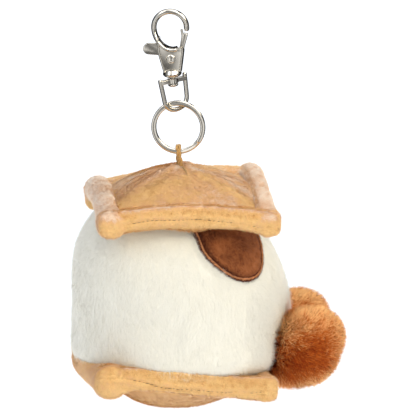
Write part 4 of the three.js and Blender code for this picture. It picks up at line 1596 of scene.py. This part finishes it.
def to_clip(obj):
    """Moves a piece from the upright clip's own frame to its place on the toy."""
    at = turned(turned(places(obj), CLIP["turn"]), CLIP["lean"], "y") + np.array(CLIP["at"])
    return move_to(obj, at)


class SMORE_OT_split_ring(bpy.types.Operator):
    """Makes the split ring: a flat wire wound twice"""

    bl_idname = "smore.split_ring"
    bl_label = "Split ring"

    def execute(self, context):
        slack, count = RING["crossing"] + 5, 420
        degrees = np.linspace(slack, 720 - slack, count)
        step = smooth_step(degrees, 360 - RING["crossing"], 360 + RING["crossing"])
        angle = np.radians(degrees + RING["crossing_at"])
        radius = RING["outer"] - RING["band"] / 2
        path = np.stack([
            radius * np.cos(angle), lerp(-0.5, 0.5, step) * (RING["coil"] + 0.12), radius * np.sin(angle),
        ], -1)
        a, b = RING["band"] / 2, RING["coil"] / 2
        corner = np.radians(np.arange(32) / 32 * 360)
        section = np.stack([a * powered(np.cos(corner), 0.8), b * powered(np.sin(corner), 0.8)], -1)
        ends = np.minimum(np.arange(count), np.arange(count)[::-1])
        sizes = 1 - 0.3 * np.clip(1 - ends / 3, 0, 1) ** 2
        ring = tube("key_split_ring", path, section, sizes, first=(0, 1, 0))
        at = turned(places(ring), RING["turn"]) + np.array(RING["centre"])
        move_to(ring, at)
        softened(ring, 50)
        piece(ring, "plush", nickel(context.scene.smore.metal), ["split_ring"])
        return {"FINISHED"}


class SMORE_OT_shackle(bpy.types.Operator):
    """Makes the shackle: a bent wire with a bar riveted across it"""

    bl_idname = "smore.shackle"
    bl_label = "Shackle"

    def execute(self, context):
        bar = SHACKLE["bar"]
        angle = np.linspace(math.pi, 0, 15)
        c, s = np.cos(angle), np.sin(angle)
        power = 2 / SHACKLE["bend"]
        half = SHACKLE["bottom_half"]
        bow = np.stack([
            half * powered(c, power), 0 * c,
            SHACKLE["bottom"] + half * (1 - np.abs(s) ** power),
        ], -1)
        ends = [[-SHACKLE["top_half"], 0, SHACKLE["top"]], [SHACKLE["top_half"], 0, SHACKLE["top"]]]
        route = np.vstack([ends[0], bow, ends[1]])
        count = 110
        line = spline(route, count)
        sizes = np.ones(count)
        sizes[[0, -1]] = 0.72
        sizes[[1, -2]] = 0.93
        wire = tube("wire", line, circle(SHACKLE["wire"], 24), sizes)
        at = places(wire) - np.array([0, 0, bar])
        move_to(wire, turned(at, SHACKLE["lean"], "y") + np.array([0, 0, bar]))
        deep, thick = SHACKLE["deep"] * 0.3, SHACKLE["thick"] * 0.4
        long = SHACKLE["top_half"]
        strip = plate(
            "strip", [(-long, bar - thick), (long, bar - thick), (long, bar + thick), (-long, bar + thick)],
            deep, 0.18)
        high, low = bar + SHACKLE["thick"] / 2, bar - SHACKLE["thick"] / 2
        boss = lathe("boss", [
            (0, low), (SHACKLE["boss"] - 0.2, low), (SHACKLE["boss"], low + 0.2),
            (SHACKLE["boss"], high - 0.2), (SHACKLE["boss"] - 0.2, high), (0, high),
        ], 40)
        hole = SHACKLE["hole"]
        for solid in (strip, boss):
            cut(solid, lathe("bore", [(0, low - 1), (hole, low - 1), (hole, high + 1), (0, high + 1)], 40))
        solid = united("shackle_wire", [wire, strip, boss])
        move_to(solid, turned(places(solid), SHACKLE["turn"]))
        softened(to_clip(solid), 40)
        piece(solid, "plush", nickel(context.scene.smore.metal), ["swivel_shackle"])
        return {"FINISHED"}


def eye_point(degrees, offset=0.0):
    """A point on the outline of the hook's eye, or offset from it, at an angle from +X."""
    c, s = math.cos(math.radians(degrees)), math.sin(math.radians(degrees))
    drift = 0.5 * s**2 if s < 0 else 0
    tall = HOOK["up"] if s > 0 else HOOK["down"]
    return HOOK["x"] + drift + (HOOK["across"] + offset) * c, HOOK["z"] + (tall + offset) * s


class SMORE_OT_hook_frame(bpy.types.Operator):
    """Makes the cast hook: bent eye, flat body with a slot for the gate, and collar"""

    bl_idname = "smore.hook_frame"
    bl_label = "Hook frame"

    def execute(self, context):
        wire = self.eye_wire()
        body = self.flat_body()
        collar = lathe("collar", [
            (0, 13), (1.6, 13.0), (2.5, 13.12), (3.1, 13.45), (3.5, 13.95), (3.6, 14.3),
            (3.5, 14.65), (3.2, 15.0), (2.9, 15.7), (0, 15.7),
        ], 48)
        slot = [
            (-9, 17.5), (9, 17.5), (9, 27.5), (-1.9, 27.5), (-1.9, 23.6), (-4.4, 26.9), (-9, 26.9),
        ]
        rims = [self.rim(side) for side in (0, 1)]
        for solid in (wire, body, *rims):
            cut(solid, plate("slot", slot, HOOK["slot"]))
        bore = RIVET["shank"] + 0.15
        x, z = GATE["pivot"]
        hole = [(0, -5), (bore, -5), (bore, 5), (0, 5)]
        cut(body, lathe("hole", hole, 32, axis="y", at=(x, 0, z)))
        room = 0.2
        seat = SHACKLE["bar"] - SHACKLE["thick"] / 2 - 0.3
        well = [
            (0, seat - 4), (SWIVEL["post"] + room, seat - 4), (SWIVEL["post"] + room, SWIVEL["top"] + room),
            (0, SWIVEL["top"] + room),
        ]
        for solid in (body, collar):
            cut(solid, lathe("well", well, 32))
        solid = united("hook_casting", [wire, body, collar, *rims])
        softened(to_clip(solid), 40)
        piece(solid, "hook", nickel(context.scene.smore.metal), ["hook_frame"])
        return {"FINISHED"}

    def eye_wire(self):
        """The round wire of the eye, which grows deeper down towards the body."""
        angles = np.linspace(HOOK["tip"], HOOK["end"], 60)
        route = [(x, 0, z) for x, z in (eye_point(a, HOOK["wire"]) for a in angles)]
        line = spline(route, 150)
        sizes = np.ones(150)
        sizes[:5] = [0.55, 0.8, 0.91, 0.97, 0.99]
        wire = tube("wire", line, circle(HOOK["wire"], 28), sizes, first=(0, 1, 0))
        at = places(wire)
        deeper = smooth_step(HOOK["z"] + 1 - at[:, 2], 0, HOOK["down"])
        at[:, 1] *= lerp(1, HOOK["spread"], deeper)
        return move_to(wire, at)

    def rim(self, side):
        """The rounded rim down one side of the body, from the eye to the collar."""
        route = [
            [(-3.9, 0, 28.4), (-4.15, 0, 25), (-3.95, 0, 21.9), (-2.75, 0, 15.8), (-2.6, 0, 15.2)],
            [(4.75, 0, 24.0), (4.75, 0, 23), (4.6, 0, 21.9), (3.35, 0, 15.8), (3.25, 0, 15.2)],
        ][side]
        angle = np.arange(24) / 24 * 2 * math.pi
        c, s = np.cos(angle), np.sin(angle)
        section = np.stack([0.55 * powered(c, 0.9), 2.1 * powered(s, 0.5)], -1)
        return tube("rim", spline(route, 30), section, first=(0, 1, 0))

    def flat_body(self):
        """The flat body under the eye."""
        rim = [eye_point(a, HOOK["wire"]) for a in np.linspace(-72, -150, 15)]
        outline = [(-2.9, 15.2), (3.6, 15.2), (5, 21.9), (5.2, 23.4), *rim, (-4.35, 21.9)]
        return plate("body", outline, HOOK["half"] - 0.35, 0.3, 3)


class SMORE_OT_rivets(bpy.types.Operator):
    """Makes the swivel rivet and the gate's hollow rivet"""

    bl_idname = "smore.rivets"
    bl_label = "Rivets"

    def execute(self, context):
        metal = nickel(context.scene.smore.metal)
        seat = SHACKLE["bar"] - SHACKLE["thick"] / 2 - 0.3
        low = seat - SWIVEL["head_height"]
        head, post, top = SWIVEL["head"], SWIVEL["post"], SWIVEL["top"]
        swivel = lathe("swivel_pin", [
            (0, low), (head * 0.45, low + 0.02), (head * 0.7, low + 0.14), (head * 0.88, low + 0.36),
            (head * 0.98, low + 0.66), (head, seat - 0.15), (head - 0.1, seat), (post, seat),
            (post, top - 0.15), (post - 0.15, top), (0, top),
        ], 48)
        softened(to_clip(swivel), 40)
        piece(swivel, "hook", metal, ["swivel_rivet"])

        inside = HOOK["half"] - 0.25
        outside = inside + RIVET["head_height"]
        rim = RIVET["head"]
        half = [
            (0, outside - 0.3), (rim * 0.44, outside - 0.3), (rim * 0.5, outside - 0.26),
            (rim * 0.54, outside - 0.05), (rim * 0.6, outside), (rim * 0.74, outside - 0.02),
            (rim * 0.93, outside - 0.2), (rim, inside + 0.08), (rim * 0.97, inside), (RIVET["shank"], inside),
        ]
        profile = [(r, -y) for r, y in half] + half[::-1]
        x, z = GATE["pivot"]
        gate = lathe("gate_pin", profile, 48, axis="y", at=(x, 0, z))
        softened(to_clip(gate), 40)
        piece(gate, "hook", metal, ["gate_rivet"])
        return {"FINISHED"}


class SMORE_OT_gate_lever(bpy.types.Operator):
    """Makes the sprung gate: thumb tongue, hub, arm and closing bar"""

    bl_idname = "smore.gate_lever"
    bl_label = "Gate lever"

    def execute(self, context):
        x, z = GATE["pivot"]
        radius = GATE["thumb_radius"]
        angles = np.radians(np.linspace(-90, -270, 20))
        tip = np.stack([np.cos(angles), np.sin(angles)], -1) * radius + GATE["thumb"]
        tongue = plate(
            "tongue",
            [(x - 0.3, z - 1.5), (-4.4, 21.6), *tip, (-5, 26.2), (-2.6, 22.9), (x, z + 1.9)],
            GATE["plate"], 0.18)
        arm = plate("arm", [(1, 18.7), (3.4, 20), (5, 23.3), (3.4, 24.1), (0, 22)], GATE["plate"], 0.1)
        bar = plate("bar", [
            (3.5, 23.6), (4.5, 23.4), (5.7, 28.6), (5.5, 29.4), (5.25, 31), (4.45, 30.8), (4.7, 28.3),
        ], GATE["bar"] - 0.35, 0.15)
        closing = plate("closing", [
            (4.2, 23.5), (5.2, 23.2), (6.5, 26.8), (7.3, 29.1), (5.7, 29.5),
        ], GATE["bar"], 0.3, 4)
        hub = plate("hub", circle(GATE["hub"], 40) + np.array(GATE["pivot"]), GATE["plate"], 0.1)
        hole = GATE["hole"] + 0.15
        bore = [(0, -3), (hole, -3), (hole, 3), (0, 3)]
        for solid in (tongue, arm, hub):
            cut(solid, lathe("bore", bore, 32, axis="y", at=(x, 0, z)))
        solid = united("gate_plates", [tongue, arm, hub, bar, closing])
        softened(to_clip(solid), 40)
        piece(solid, "gate", nickel(context.scene.smore.metal), ["gate_lever"])
        return {"FINISHED"}


class SMORE_OT_stage(bpy.types.Operator):
    """Makes the pale floor, the soft studio light and the camera"""

    bl_idname = "smore.stage"
    bl_label = "Stage"

    def execute(self, context):
        settings = context.scene.smore.stage
        nothing_selected()
        bpy.ops.mesh.primitive_plane_add(size=40, location=(0, 0, 0))
        floor = named(bpy.context.object, "floor")
        finish = Finish("pale_floor")
        grain = finish.noise(finish.object_place(), 0.02, 2.0)
        shade = finish.ramp(grain, [(0.0, opaque(settings.floor, 0.24)), (1.0, opaque(settings.floor, 0.25))])
        floor.data.materials.append(finish.finished(
            base_color=shade, roughness=0.9, specular_ior_level=0.0,
            emission_color=(0.96, 1, 1.06, 1), emission_strength=1.02,
        ))
        floor.visible_glossy = False
        self.light("key", (0.5, -0.8, 0.72), 0.6, settings.key, (1, 0.9, 0.68))
        self.light("fill", (-0.9, -0.5, 0.45), 0.8, settings.fill, (0.8, 0.9, 1))
        self.light("overhead", (-0.05, -0.15, 1.1), 0.9, settings.top, (1, 0.99, 0.97))
        self.light("behind", (0.3, 0.9, 0.6), 0.7, settings.fill, (1, 0.98, 0.95))
        self.room(settings)
        self.camera()
        context.scene.view_settings.view_transform = "Standard"
        return {"FINISHED"}

    def light(self, name, place, size, power, colour):
        """A square soft light that faces the toy."""
        nothing_selected()
        bpy.ops.object.light_add(type="AREA", location=place)
        lamp = bpy.context.object
        lamp.name = name
        lamp.data.size = size
        lamp.data.energy = power
        lamp.data.color = colour
        aim = (place[0], place[1], place[2] - 0.06)
        lamp.rotation_euler = (
            math.atan2(math.hypot(aim[0], aim[1]), aim[2]), 0, math.atan2(aim[0], -aim[1]),
        )
        return lamp

    def room(self, settings):
        """The room: even light, and for the metal's reflections a studio with darker walls."""
        world = bpy.data.worlds.new("room")
        bpy.context.scene.world = world
        world.use_nodes = True
        tree = world.node_tree
        tree.nodes.clear()
        make, link = tree.nodes.new, tree.links.new
        place = make("ShaderNodeTexCoord")
        ray = make("ShaderNodeLightPath")
        even = make("ShaderNodeBackground")
        even.inputs["Color"].default_value = (0.9, 0.96, 1.08, 1)
        even.inputs["Strength"].default_value = settings.room
        studio = make("ShaderNodeBackground")
        choice = make("ShaderNodeMixShader")
        end = make("ShaderNodeOutputWorld")
        depth = self.ramp(tree, place, (0.136, 0.965, 0.0), [
            (0.0, 1.0), (0.5, 1.0), (0.6, 0.1), (0.92, 0.1), (1.0, 0.3)])
        across = self.ramp(tree, place, (0.99, -0.139, 0.0), [
            (0.0, 0.3), (0.1, 0.1), (0.2, 1.5), (0.27, 1.2), (0.33, 0.1), (0.4, 0.45),
            (0.47, 0.9), (0.55, 1.6), (0.62, 1.3), (0.68, 0.08), (0.8, 0.05), (0.86, 1.2), (0.93, 0.15),
            (1.0, 0.3)])
        height = self.ramp(tree, place, (0.0, 0.0, 1.0), [
            (0.0, 0.5), (0.3, 0.7), (0.42, 1.0), (0.5, 0.95), (0.56, 0.3), (0.64, 0.4), (0.74, 2.2),
            (0.9, 1.8), (1.0, 0.3)])
        level = studio.inputs["Color"]
        for part in (depth, across, height):
            product = make("ShaderNodeVectorMath")
            product.operation = "MULTIPLY"
            if part is depth:
                product.inputs[0].default_value = (1, 1, 1)
            else:
                link(last, product.inputs[0])
            link(part, product.inputs[1])
            last = product.outputs[0]
        link(last, level)
        link(ray.outputs["Is Glossy Ray"], choice.inputs[0])
        link(even.outputs[0], choice.inputs[1])
        link(studio.outputs[0], choice.inputs[2])
        link(choice.outputs[0], end.inputs[0])

    def ramp(self, tree, place, way, levels):
        """How bright the room is along one direction, from one end to the other."""
        along = tree.nodes.new("ShaderNodeVectorMath")
        along.operation = "DOT_PRODUCT"
        along.inputs[1].default_value = way
        share = tree.nodes.new("ShaderNodeMath")
        share.operation = "MULTIPLY_ADD"
        share.inputs[1].default_value = 0.5
        share.inputs[2].default_value = 0.5
        ramp = tree.nodes.new("ShaderNodeValToRGB")
        while len(ramp.color_ramp.elements) < len(levels):
            ramp.color_ramp.elements.new(0.5)
        for element, (position, level) in zip(ramp.color_ramp.elements, levels):
            element.position = position
            element.color = (level, level * 0.995, level * 0.985, 1)
        tree.links.new(place.outputs["Generated"], along.inputs[0])
        tree.links.new(along.outputs["Value"], share.inputs[0])
        tree.links.new(share.outputs[0], ramp.inputs[0])
        return ramp.outputs[0]

    def camera(self):
        """The photograph's view: level eyes a little above the toy, from far away."""
        azimuth, elevation, distance = math.radians(-8), math.radians(13), 2.0
        right = np.array([math.cos(azimuth), math.sin(azimuth), 0])
        back = np.array([
            math.sin(azimuth) * math.cos(elevation), -math.cos(azimuth) * math.cos(elevation),
            math.sin(elevation),
        ])
        above = np.cross(back, right)
        place = right * 0.01178 + above * 0.07258 + back * distance
        nothing_selected()
        bpy.ops.object.camera_add(location=place)
        camera = bpy.context.object
        camera.rotation_euler = (math.radians(90) - elevation, 0, azimuth)
        camera.data.lens = 455.5
        camera.data.sensor_width = 36
        camera.data.clip_start = 0.05
        camera.data.clip_end = 100
        bpy.context.scene.camera = camera


class SMORE_PT_pieces(bpy.types.Panel):
    """The s'more's pieces, in the order in which they are made"""

    bl_label = "Plush S'more"
    bl_idname = "SMORE_PT_pieces"
    bl_space_type = "VIEW_3D"
    bl_region_type = "UI"
    bl_category = "S'more"

    def draw(self, context):
        for operator in OPERATORS:
            self.layout.operator(operator.bl_idname)


OPERATORS = (
    SMORE_OT_marshmallow, SMORE_OT_crackers, SMORE_OT_chocolate, SMORE_OT_feet, SMORE_OT_cord_loop,
    SMORE_OT_split_ring, SMORE_OT_shackle, SMORE_OT_hook_frame, SMORE_OT_rivets, SMORE_OT_gate_lever,
    SMORE_OT_stage,
)
CLASSES = (
    MarshmallowSettings, CrackerSettings, ChocolateSettings, FeetSettings, CordSettings,
    MetalSettings, StageSettings, SmoreSettings, *OPERATORS, SMORE_PT_pieces,
)


def register():
    for made in CLASSES:
        bpy.utils.register_class(made)
    bpy.types.Scene.smore = PointerProperty(type=SmoreSettings)


def unregister():
    del bpy.types.Scene.smore
    for made in reversed(CLASSES):
        bpy.utils.unregister_class(made)


def main():
    register()
    bpy.ops.smore.marshmallow()
    bpy.ops.smore.crackers()
    bpy.ops.smore.chocolate()
    bpy.ops.smore.feet()
    bpy.ops.smore.cord_loop()
    bpy.ops.smore.split_ring()
    bpy.ops.smore.shackle()
    bpy.ops.smore.hook_frame()
    bpy.ops.smore.rivets()
    bpy.ops.smore.gate_lever()
    bpy.ops.smore.stage()


if __name__ == "__main__":
    main()
